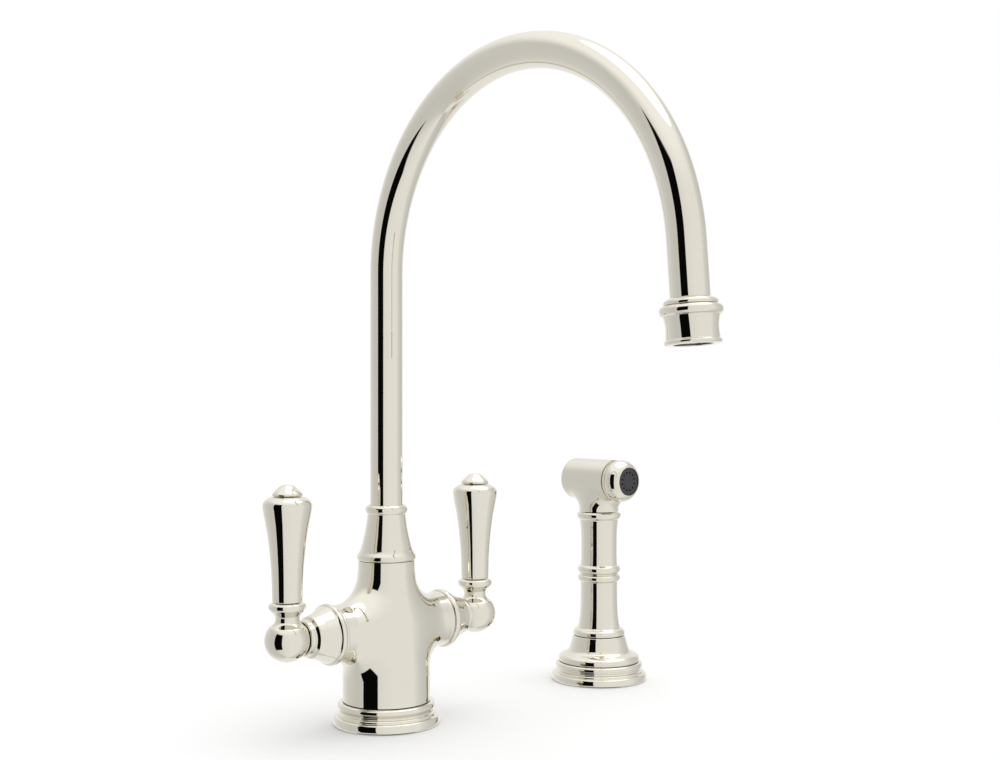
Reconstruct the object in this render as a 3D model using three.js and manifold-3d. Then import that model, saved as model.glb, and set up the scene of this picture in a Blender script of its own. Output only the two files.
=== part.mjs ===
/*
 * Kitchen faucet with two levers, a tall gooseneck spout and a separate side spray.
 *
 * Units are millimetres and +Z is up. The origin lies on the axis of the main body at the top of
 * the deck. +X points to the right-hand lever and the spray, and the spout reaches towards -Y.
 * Turned pieces are revolved outlines of radius against height; the body, the lever hubs and the
 * spray head are revolved forms joined and bored; the spout is a ring swept along its centreline.
 */
import * as THREE from 'three';
import { mergeVertices } from 'three/addons/utils/BufferGeometryUtils.js';
import Module from 'manifold-3d';

const manifold = await Module();
manifold.setup();

// ---------------------------------------------------------------- driving dimensions (mm)

const FIT = 0.3; // clearance between pieces that touch, thread together or slide
const SOFT_EDGE = 0.6; // small rounding where a turned piece changes direction
const FACETS_LARGE = 18; // sides of the body, the flanges and the holder
const FACETS_MEDIUM = 16; // sides of the spout fittings, the handset and the bonnets
const FACETS_SMALL = 12; // sides of the levers and the inner pieces
const FACETS_FINE = 8; // sides of rods, screws and drilled holes
const ARC_STEPS = 2; // straight runs in each short rounded stretch of an outline

// Deck and what clamps the faucet to it
const DECK_THICKNESS = 30;
const SHANK_RADIUS = 16; // outside of the threaded shank under the body
const SHANK_BORE = 12.5; // its bore, which the supply hoses pass through
const SHANK_DROP = 56; // how far it hangs below the deck surface
const SHANK_ENGAGEMENT = 13.7; // how far it screws up into the body, above the deck
const RUBBER_WASHER_THICKNESS = 3;
const STEEL_WASHER_THICKNESS = 2;
const WASHER_OVERHANG = 12; // from the shank's thread to the washer's rim
const NUT_HEIGHT = 9;
const NUT_WALL = 7; // from the thread to a flat of the nut
const INLET_RADIUS = 5;
const INLET_PITCH_RADIUS = 7.3; // from the body axis to each inlet's axis
const INLET_DROP = 18; // how far the inlets hang inside the shank
const INLET_SOCKET_DEPTH = 8;

// Base flange under the body: two stacked rounded rings
const FLANGE_RADIUS = 36.2;
const FLANGE_STEP_RADIUS = 33.2;
const FLANGE_RING_HEIGHT = 8.4;
const FLANGE_HEIGHT = 15.2;
const GASKET_THICKNESS = 1.5;
const GASKET_WIDTH = 6;

// Body casting
const SPIGOT_RADIUS = 22; // part of the body that stands inside the flange
const SPIGOT_LIFT = 2.3; // underside of the spigot above the deck
const COLUMN_RADIUS = 29.5;
const COLUMN_STRAIGHT = 14; // straight height above the flange
const NECK_RADIUS = 19.1;
const NECK_TOP = 109.3;
const BOSS_RADIUS = 14.6; // threaded boss on the neck, which the collar screws onto
const BOSS_HEIGHT = 4.7;
const SPOUT_SOCKET_RADIUS = 13;
const SPOUT_SOCKET_DEPTH = 30;
const CHAMBER_RADIUS = 9; // mixing chamber under the spout socket
const CHAMBER_DEPTH = 36;
const ARM_HEIGHT = 64.7; // of the axis that both levers turn about
const ARM_RADIUS = 18.7;
const ARM_LIP = 0.7; // how far the ring at the arm's end stands proud
const ARM_REACH = 43.5; // from the body axis to the end of an arm
const SHOULDER_FILLET = 15; // from the neck down onto the arms
const UNDER_FILLET = 13; // from the column up into the underside of the arms
const CROSS_PORT_RADIUS = 4; // waterway from the valves to the mixing chamber

// Valve in each arm, along the arm's axis
const VALVE_BORE = 12.2;
const VALVE_BORE_DEPTH = 17.5; // from the arm's end face
const CARTRIDGE_CAVITY = 9.4; // inside radius round the ceramic discs
const CARTRIDGE_CAVITY_LENGTH = 13.7;
const DISC_THICKNESS = 2.6;
const DISC_PORT_RADIUS = 2.2;
const DISC_PORT_OFFSET = 5;
const DISC_RECESS = 2; // from the cartridge's inner end to the fixed disc
const SPINDLE_RADIUS = 4.2;
const SPINDLE_GAP = 4.8; // from the spindle's end to the lever's own axis

// Bonnet: the cone between an arm and its lever
const BONNET_GAP = 11; // from the bonnet's nose to the lever's own axis
const BONNET_SEAT_RADIUS = 18.4;
const BONNET_RIM_RADIUS = 20.1;
const BONNET_NOSE_RADIUS = 11.6;
const BONNET_MOUTH_RADIUS = 10.3; // widened at the end, clear of the lever's ball
const BONNET_MOUTH_DEPTH = 2.6;
const BONNET_BORE = 8.9;
const BONNET_NOSE_THICKNESS = 11;
const BONNET_SPIGOT_WALL = 3.5; // wall of the threaded spigot that screws into the arm
const BONNET_SPIGOT_LENGTH = 5.8;

// Lever: hub, grip and finial on one rod
const LEVER_REACH = 79.3; // from the body axis to the lever's own axis
const BALL_RADIUS = 14.7;
const BALL_DROP = 13.5; // from the turning axis to the underside of the ball
const LEVER_NECK_RADIUS = 7.6;
const LEVER_NECK_HEIGHT = 13.9;
const LEVER_COLLAR_RADIUS = 12;
const HUB_HEIGHT = 24.6; // from the turning axis to the top of the collar
const HUB_BOSS_RADIUS = 8.4;
const HUB_BOSS_LENGTH = 19.3; // from the lever's axis in towards the body
const GRIP_LENGTH = 67;
const GRIP_FOOT_RADIUS = 9.5;
const GRIP_RADIUS = 15.85;
const GRIP_TOP_RADIUS = 9.8;
const FINIAL_RADIUS = 9.9;
const FINIAL_HEIGHT = 7.2;
const FINIAL_SOCKET_DEPTH = 4;
const LEVER_ROD_RADIUS = 3;
const LEVER_ROD_SEAT = 8; // how far the rod is screwed into the hub
const GRUB_SCREW_RADIUS = 2;
const GRUB_SCREW_RECESS = 0.8;

// Spout: foot, tube, collar and nozzle
const TUBE_RADIUS = 11;
const TUBE_WALL = 1.2;
const TUBE_SEAT_DEPTH = 12; // how far the tube stands in its foot
const TUBE_SIDES = 14;
const TUBE_BORE_SIDES = 7;
const BEND_STEPS = 10; // straight runs in each of the spout's two bends
const LEG_TOP = 301.3; // where the bend starts, above the deck
const RISING_BEND = 127.5; // radius of the bend up to the crown
const FALLING_BEND = 134.8; // radius of the bend down from the crown
const STRAIGHT_FALL = 30; // from the end of the bends down to the nozzle
const SPOUT_TURN = 175.2; // degrees from straight up to the nozzle's direction
const FOOT_FLANGE_THICKNESS = 2;
const FOOT_BORE = 9;
const SEAL_GROOVE_DEPTH = 1.8;
const SEAL_GROOVE_WIDTH = 2.8;
const SEAL_SPACING = 7;
const LOWEST_SEAL = 5.7; // from the foot's lower end to the middle of the lower groove
const THRUST_WASHER_THICKNESS = 2;
const COLLAR_HEIGHT = 36.9;
const COLLAR_RIM_RADIUS = 19.9;
const COLLAR_RIM_HEIGHT = 5.7;
const COLLAR_WAIST_RADIUS = 12.9;
const COLLAR_BEAD_RADIUS = 14.2;
const COLLAR_BEAD_HEIGHT = 6;

const TUBE_TAIL = 8; // straight end of the tube, inside the nozzle
const NOZZLE_LENGTH = 26;
const NOZZLE_FLANGE_RADIUS = 14.9;
const NOZZLE_FLANGE_THICKNESS = 4.1;
const NOZZLE_SKIRT_LENGTH = 7.6; // threaded skirt of the flange, inside the shell
const NOZZLE_SKIRT_WALL = 1.6;
const NOZZLE_BEAD_RADIUS = 17.5;
const NOZZLE_BEAD_WIDTH = 5.3;
const NOZZLE_WAIST_RADIUS = 14.4;
const NOZZLE_LIP_RADIUS = 15.7;
const NOZZLE_LIP_WIDTH = 3.7;
const AERATOR_RADIUS = 12;
const AERATOR_WALL = 1.9;
const AERATOR_RECESS = 1.2; // how far its end stands inside the nozzle's lip
const SCREEN_THICKNESS = 1.4;

// Diverter in the mixing chamber: it sends water to the spray
const DIVERTER_WALL = 3.2;
const DIVERTER_LENGTH = 32;
const DIVERTER_PISTON_HEIGHT = 6;
const DIVERTER_STEM_RADIUS = 1.8;
const DIVERTER_STEM_LENGTH = 16;
const DIVERTER_WINDOW_RADIUS = 3;

// Side spray: holder on the deck
const SPRAY_SPACING = 207; // from the body axis to the spray's axis
const SPRAY_FLANGE_RADIUS = 37;
const SPRAY_FLANGE_STEP_RADIUS = 33.4;
const SPRAY_FLANGE_HEIGHT = 13.9;
const SPRAY_FLANGE_LEDGE = 3; // thickness of the ledge that its shank clamps
const SPRAY_SHANK_RADIUS = 13.5;
const SPRAY_SHANK_BORE = 10.2;
const SPRAY_SHANK_DROP = 48;
const SPRAY_SHANK_HEAD_RADIUS = 17.2;
const SPRAY_SHANK_HEAD_THICKNESS = 3;
const BELL_HEIGHT = 19.5;
const BELL_RADIUS = 31.2;
const BELL_SHOULDER_HEIGHT = 7.3; // height of the bell's rounded foot
const BELL_TOP_RADIUS = 19.8;
const LINER_RADIUS = 15.3;
const LINER_WALL = 1.8;

// Side spray: handset
const HANDSET_SPIGOT_LENGTH = 22; // below the top of the holder
const HANDSET_BORE = 8;
const HANDSET_FOOT_RADIUS = 20;
const HANDSET_STEM_RADIUS = 14.2;
const HANDSET_STEM_LENGTH = 95; // from the holder up to the seam with the head
const HANDSET_MID_BEAD_RADIUS = 16.5;
const HANDSET_MID_BEAD_HEIGHT = 44; // of the lower bead of the pair, above the stem's foot
const HANDSET_MID_BEAD_SPACING = 6.6;
const HANDSET_TOP_BEAD_RADIUS = 17.1;
const HEAD_RISE = 23.8; // from the seam up to the head's own axis
const HEAD_RADIUS = 15.9;
const HEAD_BACK = 26; // from the handset's axis back to the head's rear end
const HEAD_FRONT = 16.5; // from the handset's axis forward to the nozzle ring
const HEAD_NECK_RADIUS = 15.3;
const HEAD_REAR_ROUND = 2.4; // how far its rear edge is drawn in
const HEAD_FILLET = 9; // from the neck out into the head
const HEAD_SPIGOT_LENGTH = 8; // threaded spigot under the head, inside the stem
const HEAD_SPIGOT_WALL = 2;
const HEAD_CHAMBER_RADIUS = 12;
const HEAD_CHAMBER_BACK = 6; // rear wall of the chamber, behind the handset's axis
const SPRAY_RING_LENGTH = 14.7;
const SPRAY_RING_RADIUS = 16.1;
const SPRAY_RING_THREAD_LENGTH = 12.5;
const SPRAY_RING_BORE = 8.5;
const SPRAY_FACE_RADIUS = 10.4;
const SPRAY_FACE_THICKNESS = 2;
const SPRAY_FACE_RECESS = 0.4;
const SPRAY_HOLE_COUNT = 12;
const SPRAY_HOLE_CIRCLE = 6.75;
const SPRAY_HOLE_RADIUS = 0.6;
const BUTTON_RADIUS = 12.4;
const BUTTON_LENGTH = 8.5;
const BUTTON_DOME = 3; // how far its middle stands behind the head
const BUTTON_TRAVEL = 4;
const BUTTON_POCKET_DEPTH = 14;
const VALVE_STEM_RADIUS = 2;
const VALVE_HEAD_RADIUS = 5;
const VALVE_HEAD_THICKNESS = 2;
const SPRING_RADIUS = 7;
const SPRING_WIRE = 0.6;
const SPRING_TURNS = 4;
const SPRING_STEPS = 7; // straight runs in each turn of the spring
const SPRING_SIDES = 4;
const CONNECTOR_RADIUS = 9.4;
const CONNECTOR_LENGTH = 15.6;
const CONNECTOR_NIPPLE_LENGTH = 10;
const CONNECTOR_BORE = 1.9;

// ---------------------------------------------------------------- sizes worked out from them

const BODY_SEAT = FLANGE_HEIGHT + FIT; // where the column stands on the flange
const BOSS_TOP = NECK_TOP + BOSS_HEIGHT;
const COLLAR_BASE = NECK_TOP + FIT;
const SOCKET_FLOOR = BOSS_TOP - SPOUT_SOCKET_DEPTH;
const CHAMBER_FLOOR = SOCKET_FLOOR - CHAMBER_DEPTH;
const SHANK_SOCKET_TOP = SHANK_ENGAGEMENT + FIT + SPIGOT_LIFT;
const VALVE_FLOOR = ARM_REACH - VALVE_BORE_DEPTH;
const BONNET_BASE = ARM_REACH + FIT;
const BONNET_SPIGOT_RADIUS = VALVE_BORE + BONNET_SPIGOT_WALL;
const BONNET_LENGTH = LEVER_REACH - BONNET_GAP - BONNET_BASE;
const CARTRIDGE_BASE = VALVE_FLOOR + FIT;
const CARTRIDGE_END = BONNET_BASE + BONNET_LENGTH - BONNET_NOSE_THICKNESS - FIT;
const SPINDLE_END = LEVER_REACH - SPINDLE_GAP;
const FIXED_DISC_BASE = CARTRIDGE_BASE + DISC_RECESS;
const MOVING_DISC_BASE = FIXED_DISC_BASE + DISC_THICKNESS + FIT;
const SPINDLE_BASE = MOVING_DISC_BASE + DISC_THICKNESS + FIT;
const FOOT_RADIUS = SPOUT_SOCKET_RADIUS - FIT - 0.1;
const FOOT_BASE = SOCKET_FLOOR + FIT;
const FOOT_FLANGE_BASE = BOSS_TOP + FIT;
const FOOT_TOP = FOOT_FLANGE_BASE + FOOT_FLANGE_THICKNESS;
const TUBE_BASE = FOOT_TOP - TUBE_SEAT_DEPTH + FIT;
const TUBE_CLEARANCE = TUBE_RADIUS + FIT;
const COLLAR_CAVITY_RADIUS = BOSS_RADIUS + FIT;
const COLLAR_CAVITY_TOP = FOOT_TOP + THRUST_WASHER_THICKNESS + 2 * FIT;
const BELL_BASE = SPRAY_FLANGE_HEIGHT + FIT;
const BELL_TOP = BELL_BASE + BELL_HEIGHT;
const SHANK_HEAD_TOP = SPRAY_FLANGE_LEDGE + FIT + SPRAY_SHANK_HEAD_THICKNESS;
const HANDSET_BASE = BELL_TOP + FIT;
const LINER_BORE = LINER_RADIUS - LINER_WALL;
const HEAD_BASE = HANDSET_BASE + HANDSET_STEM_LENGTH + FIT;
const HEAD_AXIS = HEAD_BASE + HEAD_RISE;

// ---------------------------------------------------------------- finishes

const NICKEL = { color: 0xd9d3c3, roughness: 0.08, metalness: 1 };
const BRASS = { color: 0xb89a55, roughness: 0.35, metalness: 1 };
const STEEL = { color: 0xa9acb0, roughness: 0.4, metalness: 1 };
const RUBBER = { color: 0x2b2b2d, roughness: 0.8, metalness: 0 };
const NYLON = { color: 0xdedcd2, roughness: 0.5, metalness: 0 };
const CERAMIC = { color: 0xf0eee6, roughness: 0.2, metalness: 0 };

const faucet = new THREE.Group();

/** Adds one named piece to a group, with a finish of its own. */
function addPiece(group, name, geometry, finish) {
  const mesh = new THREE.Mesh(geometry, new THREE.MeshStandardMaterial(finish));
  mesh.name = name;
  group.add(mesh);
  return mesh;
}

/** Adds an empty group at a place, turned about its X, Y and Z axes. */
function addGroup(parent, position = [0, 0, 0], rotation = [0, 0, 0]) {
  const group = new THREE.Group();
  group.position.set(...position);
  group.rotation.set(...rotation);
  parent.add(group);
  return group;
}

// ---------------------------------------------------------------- shaping

/** An outline of radius against height, with straight runs, arcs and smooth stretches. */
class Outline {
  constructor(radius, height) {
    this.points = [new THREE.Vector2(radius, height)];
  }

  last() {
    return this.points[this.points.length - 1];
  }

  /** Runs straight to a point. */
  to(radius, height) {
    this.points.push(new THREE.Vector2(radius, height));
    return this;
  }

  /** Runs to a point on a circular arc that stands `rise` to the right of the straight way. */
  arc(radius, height, rise, steps = ARC_STEPS) {
    const start = this.last();
    const end = new THREE.Vector2(radius, height);
    const middle = start.clone().add(end).multiplyScalar(0.5);
    const along = end.clone().sub(start);
    const halfChord = along.length() / 2;
    along.normalize();
    const across = new THREE.Vector2(along.y, -along.x);
    const halfAngle = 2 * Math.atan(rise / halfChord);
    const arcRadius = halfChord / Math.sin(halfAngle);
    const centre = middle.addScaledVector(across, -arcRadius * Math.cos(halfAngle));
    for (let step = 1; step <= steps; step += 1) {
      const angle = halfAngle * ((2 * step) / steps - 1);
      const point = centre.clone();
      point.addScaledVector(across, arcRadius * Math.cos(angle));
      point.addScaledVector(along, arcRadius * Math.sin(angle));
      this.points.push(point);
    }
    return this;
  }

  /** Runs smoothly from here through the points given, in so many straight runs. */
  through(points, steps) {
    const stops = points.map(([radius, height]) => new THREE.Vector2(radius, height));
    const curve = new THREE.SplineCurve([this.last().clone(), ...stops]);
    this.points.push(...curve.getPoints(steps).slice(1));
    return this;
  }

  /** Joins the end to the start, for a ring. */
  close() {
    this.points.push(this.points[0].clone());
    return this;
  }
}

/** Merges a geometry's shared corners and leaves out triangles that have no area. */
function welded(geometry) {
  const bare = geometry.clone();
  bare.deleteAttribute('normal');
  bare.deleteAttribute('uv');
  const merged = mergeVertices(bare, 1e-4);
  const corners = merged.index.array;
  const kept = [];
  for (let first = 0; first < corners.length; first += 3) {
    const [a, b, c] = corners.slice(first, first + 3);
    if (a !== b && b !== c && c !== a) {
      kept.push(a, b, c);
    }
  }
  merged.setIndex(kept);
  merged.computeVertexNormals();
  return merged;
}

/** Revolves an outline about the Z axis. */
function turned(outline, facets) {
  const points = outline.points.slice();
  if (THREE.ShapeUtils.area(points) < 0) {
    points.reverse();
  }
  return welded(new THREE.LatheGeometry(points, facets).rotateX(Math.PI / 2));
}

/** A plain ring or, with no bore, a plain disc, between two heights. */
function ring(bore, radius, bottom, top, facets) {
  if (bore > 0) {
    const outline = new Outline(bore, bottom).to(radius, bottom).to(radius, top).to(bore, top);
    return turned(outline.close(), facets);
  }
  return turned(new Outline(0, bottom).to(radius, bottom).to(radius, top).to(0, top), facets);
}

/** The corners of a round or many-sided loop, as a path. */
function loop(radius, sides, centreX = 0, centreY = 0) {
  const corners = [];
  for (let side = 0; side < sides; side += 1) {
    const angle = (2 * Math.PI * side) / sides;
    const x = centreX + radius * Math.cos(angle);
    corners.push(new THREE.Vector2(x, centreY + radius * Math.sin(angle)));
  }
  return corners;
}

/** A flat plate with holes through it, standing on z = bottom. */
function plate(corners, holes, bottom, thickness) {
  const shape = new THREE.Shape(corners);
  shape.holes = holes.map((hole) => new THREE.Path(hole));
  const geometry = new THREE.ExtrudeGeometry(shape, { depth: thickness, bevelEnabled: false });
  return welded(geometry.translate(0, 0, bottom));
}

/** Joins a stack of rings of corners, lowest first, into one closed skin. */
function lofted(rings) {
  const sides = rings[0].length;
  const positions = rings.flat().flatMap((corner) => corner.toArray());
  const faces = [];
  for (let level = 0; level < rings.length - 1; level += 1) {
    for (let side = 0; side < sides; side += 1) {
      const next = (side + 1) % sides;
      const here = level * sides;
      const above = here + sides;
      faces.push(here + side, here + next, above + next);
      faces.push(here + side, above + next, above + side);
    }
  }
  const top = (rings.length - 1) * sides;
  for (let side = 1; side < sides - 1; side += 1) {
    faces.push(0, side + 1, side);
    faces.push(top, top + side, top + side + 1);
  }
  const geometry = new THREE.BufferGeometry();
  geometry.setAttribute('position', new THREE.Float32BufferAttribute(positions, 3));
  geometry.setIndex(faces);
  return geometry;
}

/** Turns a closed geometry into a solid that can be joined and cut. */
function solidOf(geometry) {
  const closed = welded(geometry);
  return new manifold.Manifold(
    new manifold.Mesh({
      numProp: 3,
      vertProperties: new Float32Array(closed.attributes.position.array),
      triVerts: new Uint32Array(closed.index.array),
    }),
  );
}

/** Joins all the parts given and cuts all the tools out of them. */
function carved(parts, tools) {
  let solid = solidOf(parts[0]);
  for (const part of parts.slice(1)) {
    solid = solid.add(solidOf(part));
  }
  for (const tool of tools) {
    solid = solid.subtract(solidOf(tool));
  }
  const mesh = solid.getMesh();
  const geometry = new THREE.BufferGeometry();
  geometry.setAttribute('position', new THREE.BufferAttribute(mesh.vertProperties, 3));
  geometry.setIndex(new THREE.BufferAttribute(mesh.triVerts, 1));
  return welded(geometry);
}

// ---------------------------------------------------------------- body and deck fixings

/** Radius of the body's column at a height: straight, then an S-curve in to the neck. */
function columnRadius(height) {
  const start = BODY_SEAT + COLUMN_STRAIGHT;
  const share = THREE.MathUtils.clamp((height - start) / (NECK_TOP - start), 0, 1);
  return NECK_RADIUS + (COLUMN_RADIUS - NECK_RADIUS) * 0.5 * (1 + Math.cos(Math.PI * share));
}

/** The column with its spigot below and its threaded boss above. */
function column() {
  const outline = new Outline(0, SPIGOT_LIFT).to(SPIGOT_RADIUS, SPIGOT_LIFT);
  outline.to(SPIGOT_RADIUS, BODY_SEAT).to(COLUMN_RADIUS - SOFT_EDGE, BODY_SEAT);
  outline.to(COLUMN_RADIUS, BODY_SEAT + SOFT_EDGE);
  const start = BODY_SEAT + COLUMN_STRAIGHT;
  const runs = 7;
  for (let run = 0; run <= runs; run += 1) {
    const height = THREE.MathUtils.lerp(start, NECK_TOP - SOFT_EDGE, run / runs);
    outline.to(columnRadius(height), height);
  }
  outline.to(NECK_RADIUS - SOFT_EDGE, NECK_TOP).to(BOSS_RADIUS, NECK_TOP);
  outline.to(BOSS_RADIUS, BOSS_TOP).to(0, BOSS_TOP);
  return turned(outline, FACETS_LARGE);
}

/** Both arms as one bar along X, with a small ring at each end. */
function arms() {
  const lipWidth = 4 * ARM_LIP;
  const outline = new Outline(0, -ARM_REACH);
  outline.to(ARM_RADIUS, -ARM_REACH).arc(ARM_RADIUS, -ARM_REACH + lipWidth, ARM_LIP);
  outline.to(ARM_RADIUS, ARM_REACH - lipWidth).arc(ARM_RADIUS, ARM_REACH, ARM_LIP);
  outline.to(0, ARM_REACH);
  return turned(outline, FACETS_LARGE).rotateY(Math.PI / 2).translate(0, 0, ARM_HEIGHT);
}

/** A ring of corners on an oval that lies level at a height. */
function oval(halfLength, halfWidth, height) {
  const corners = [];
  for (let side = 0; side < FACETS_LARGE; side += 1) {
    const angle = (2 * Math.PI * side) / FACETS_LARGE;
    const x = halfLength * Math.cos(angle);
    corners.push(new THREE.Vector3(x, halfWidth * Math.sin(angle), height));
  }
  return corners;
}

/** The shoulders: ovals that widen downwards from the neck, round a fillet, onto the arms. */
function shoulders() {
  const filletTop = ARM_HEIGHT + ARM_RADIUS + SHOULDER_FILLET;
  const neckRadius = columnRadius(filletTop);
  const steps = 4;
  const rings = [oval(neckRadius, ARM_RADIUS / 2, ARM_HEIGHT + ARM_RADIUS / 4)];
  for (let step = steps; step >= 0; step -= 1) {
    const angle = (step / steps) * (Math.PI / 2);
    const height = filletTop - SHOULDER_FILLET * Math.sin(angle);
    const halfLength = neckRadius + SHOULDER_FILLET * (1 - Math.cos(angle));
    rings.push(oval(halfLength, columnRadius(height) - FIT, height));
  }
  return lofted(rings);
}

/** The rounded webs under the arms, which run out onto the column. */
function underWebs() {
  const base = ARM_HEIGHT - ARM_RADIUS - UNDER_FILLET;
  const halfWidth = 0.75 * ARM_RADIUS;
  const columnThere = columnRadius(base);
  const steps = 4;
  const rings = [];
  for (let step = 0; step <= steps; step += 1) {
    const angle = (step / steps) * (Math.PI / 2);
    const halfLength = columnThere + UNDER_FILLET * (1 - Math.cos(angle));
    rings.push(oval(halfLength, halfWidth, base + UNDER_FILLET * Math.sin(angle)));
  }
  rings.push(oval(columnThere, ARM_RADIUS / 2, ARM_HEIGHT - ARM_RADIUS / 4));
  return lofted(rings);
}

/** The places of the three inlets round the body axis: hot, cold and spray. */
function inletPlaces() {
  const places = [];
  for (const degrees of [150, 30, 270]) {
    const angle = THREE.MathUtils.degToRad(degrees);
    places.push([INLET_PITCH_RADIUS * Math.cos(angle), INLET_PITCH_RADIUS * Math.sin(angle)]);
  }
  return places;
}

/** Everything bored out of the body: sockets, the mixing chamber and the valve bores. */
function bodyBores() {
  const past = 2; // how far a tool runs past an open end
  const bores = [
    ring(0, SPOUT_SOCKET_RADIUS, SOCKET_FLOOR, BOSS_TOP + past, FACETS_MEDIUM),
    ring(0, CHAMBER_RADIUS, CHAMBER_FLOOR, SOCKET_FLOOR + past, FACETS_SMALL),
    ring(0, SHANK_RADIUS + FIT, SPIGOT_LIFT - past, SHANK_SOCKET_TOP, FACETS_MEDIUM),
  ];
  const crossPort = ring(0, CROSS_PORT_RADIUS, -VALVE_FLOOR - past, VALVE_FLOOR + past, FACETS_FINE);
  bores.push(crossPort.rotateY(Math.PI / 2).translate(0, 0, ARM_HEIGHT));
  const spigotFloor = ARM_REACH - BONNET_SPIGOT_LENGTH - FIT;
  for (const side of [-1, 1]) {
    const outline = new Outline(0, VALVE_FLOOR).to(VALVE_BORE, VALVE_FLOOR);
    outline.to(VALVE_BORE, spigotFloor).to(BONNET_SPIGOT_RADIUS + FIT, spigotFloor);
    outline.to(BONNET_SPIGOT_RADIUS + FIT, ARM_REACH + past).to(0, ARM_REACH + past);
    const bore = turned(outline, FACETS_MEDIUM);
    bores.push(bore.rotateY((side * Math.PI) / 2).translate(0, 0, ARM_HEIGHT));
  }
  for (const [x, y] of inletPlaces()) {
    const top = SHANK_SOCKET_TOP + INLET_SOCKET_DEPTH;
    const socket = ring(0, INLET_RADIUS + FIT, SHANK_SOCKET_TOP - past, top, FACETS_FINE);
    bores.push(socket.translate(x, y, 0));
  }
  return bores;
}

/** A moulded base ring: a wide rounded ring with a smaller one on it, and a gasket groove. */
function mouldedFlange(sizes) {
  const { bore, ledgeBore, ledge, radius, stepRadius, topRadius, height } = sizes;
  const groove = GASKET_THICKNESS + FIT;
  const grooveOuter = topRadius;
  const grooveInner = grooveOuter - GASKET_WIDTH - 2 * FIT;
  const outline = new Outline(ledgeBore, 0).to(grooveInner, 0).to(grooveInner, groove);
  outline.to(grooveOuter, groove).to(grooveOuter, 0).to(radius - 2 * SOFT_EDGE, 0);
  outline.to(radius, 3 * SOFT_EDGE).to(radius, FLANGE_RING_HEIGHT / 2);
  outline.arc(stepRadius, FLANGE_RING_HEIGHT, SOFT_EDGE);
  outline.to(stepRadius - SOFT_EDGE, FLANGE_RING_HEIGHT + SOFT_EDGE);
  outline.arc(stepRadius - SOFT_EDGE / 2, height - 4 * SOFT_EDGE, SOFT_EDGE);
  outline.arc(topRadius, height, SOFT_EDGE).to(bore, height);
  if (ledge > 0) {
    outline.to(bore, ledge).to(ledgeBore, ledge);
  }
  return turned(outline.close(), FACETS_LARGE);
}

/** The gasket in a base ring's groove, flush with the underside of the ring. */
function flangeGasket(topRadius) {
  const outer = topRadius - FIT;
  return ring(outer - GASKET_WIDTH, outer, 0, GASKET_THICKNESS, FACETS_LARGE);
}

/** Rubber washer, steel washer and hexagonal nut that draw a shank down from under the deck. */
function addDeckClamp(group, prefix, shankRadius) {
  const bore = shankRadius + FIT;
  const rim = shankRadius + WASHER_OVERHANG;
  const rubberBase = -DECK_THICKNESS - RUBBER_WASHER_THICKNESS;
  const steelBase = rubberBase - FIT - STEEL_WASHER_THICKNESS;
  const nutBase = steelBase - FIT - NUT_HEIGHT;
  const rubber = ring(bore, rim, rubberBase, -DECK_THICKNESS, FACETS_MEDIUM);
  const steel = ring(bore, rim, steelBase, steelBase + STEEL_WASHER_THICKNESS, FACETS_MEDIUM);
  const hexagon = loop((shankRadius + NUT_WALL) / Math.cos(Math.PI / 6), 6);
  const nut = plate(hexagon, [loop(bore, FACETS_MEDIUM)], nutBase, NUT_HEIGHT);
  addPiece(group, `${prefix}_rubber_washer`, rubber, RUBBER);
  addPiece(group, `${prefix}_steel_washer`, steel, STEEL);
  addPiece(group, `${prefix}_back_nut`, nut, BRASS);
}

/** The three threaded tails that the hoses screw onto, hanging inside the shank. */
function addInlets(group) {
  const names = ['hot_inlet', 'cold_inlet', 'spray_outlet'];
  const top = SHANK_SOCKET_TOP + INLET_SOCKET_DEPTH - FIT;
  const bottom = SHANK_SOCKET_TOP - INLET_DROP;
  inletPlaces().forEach(([x, y], index) => {
    const tail = ring(INLET_RADIUS * 0.36, INLET_RADIUS, bottom, top, FACETS_FINE);
    addPiece(group, names[index], tail.translate(x, y, 0), BRASS);
  });
}

function addBody() {
  const casting = carved([column(), arms(), shoulders(), underWebs()], bodyBores());
  addPiece(faucet, 'body_casting', casting, NICKEL);
  const flange = mouldedFlange({
    bore: SPIGOT_RADIUS + FIT,
    ledgeBore: SPIGOT_RADIUS + FIT,
    ledge: 0,
    radius: FLANGE_RADIUS,
    stepRadius: FLANGE_STEP_RADIUS,
    topRadius: COLUMN_RADIUS + SOFT_EDGE,
    height: FLANGE_HEIGHT,
  });
  addPiece(faucet, 'base_flange', flange, NICKEL);
  addPiece(faucet, 'base_gasket', flangeGasket(COLUMN_RADIUS + SOFT_EDGE), RUBBER);
  const shankTop = SHANK_SOCKET_TOP - FIT;
  const shank = ring(SHANK_BORE, SHANK_RADIUS, -SHANK_DROP, shankTop, FACETS_MEDIUM);
  addPiece(faucet, 'mounting_shank', shank, BRASS);
  addDeckClamp(faucet, 'body', SHANK_RADIUS);
  addInlets(faucet);
}

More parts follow.
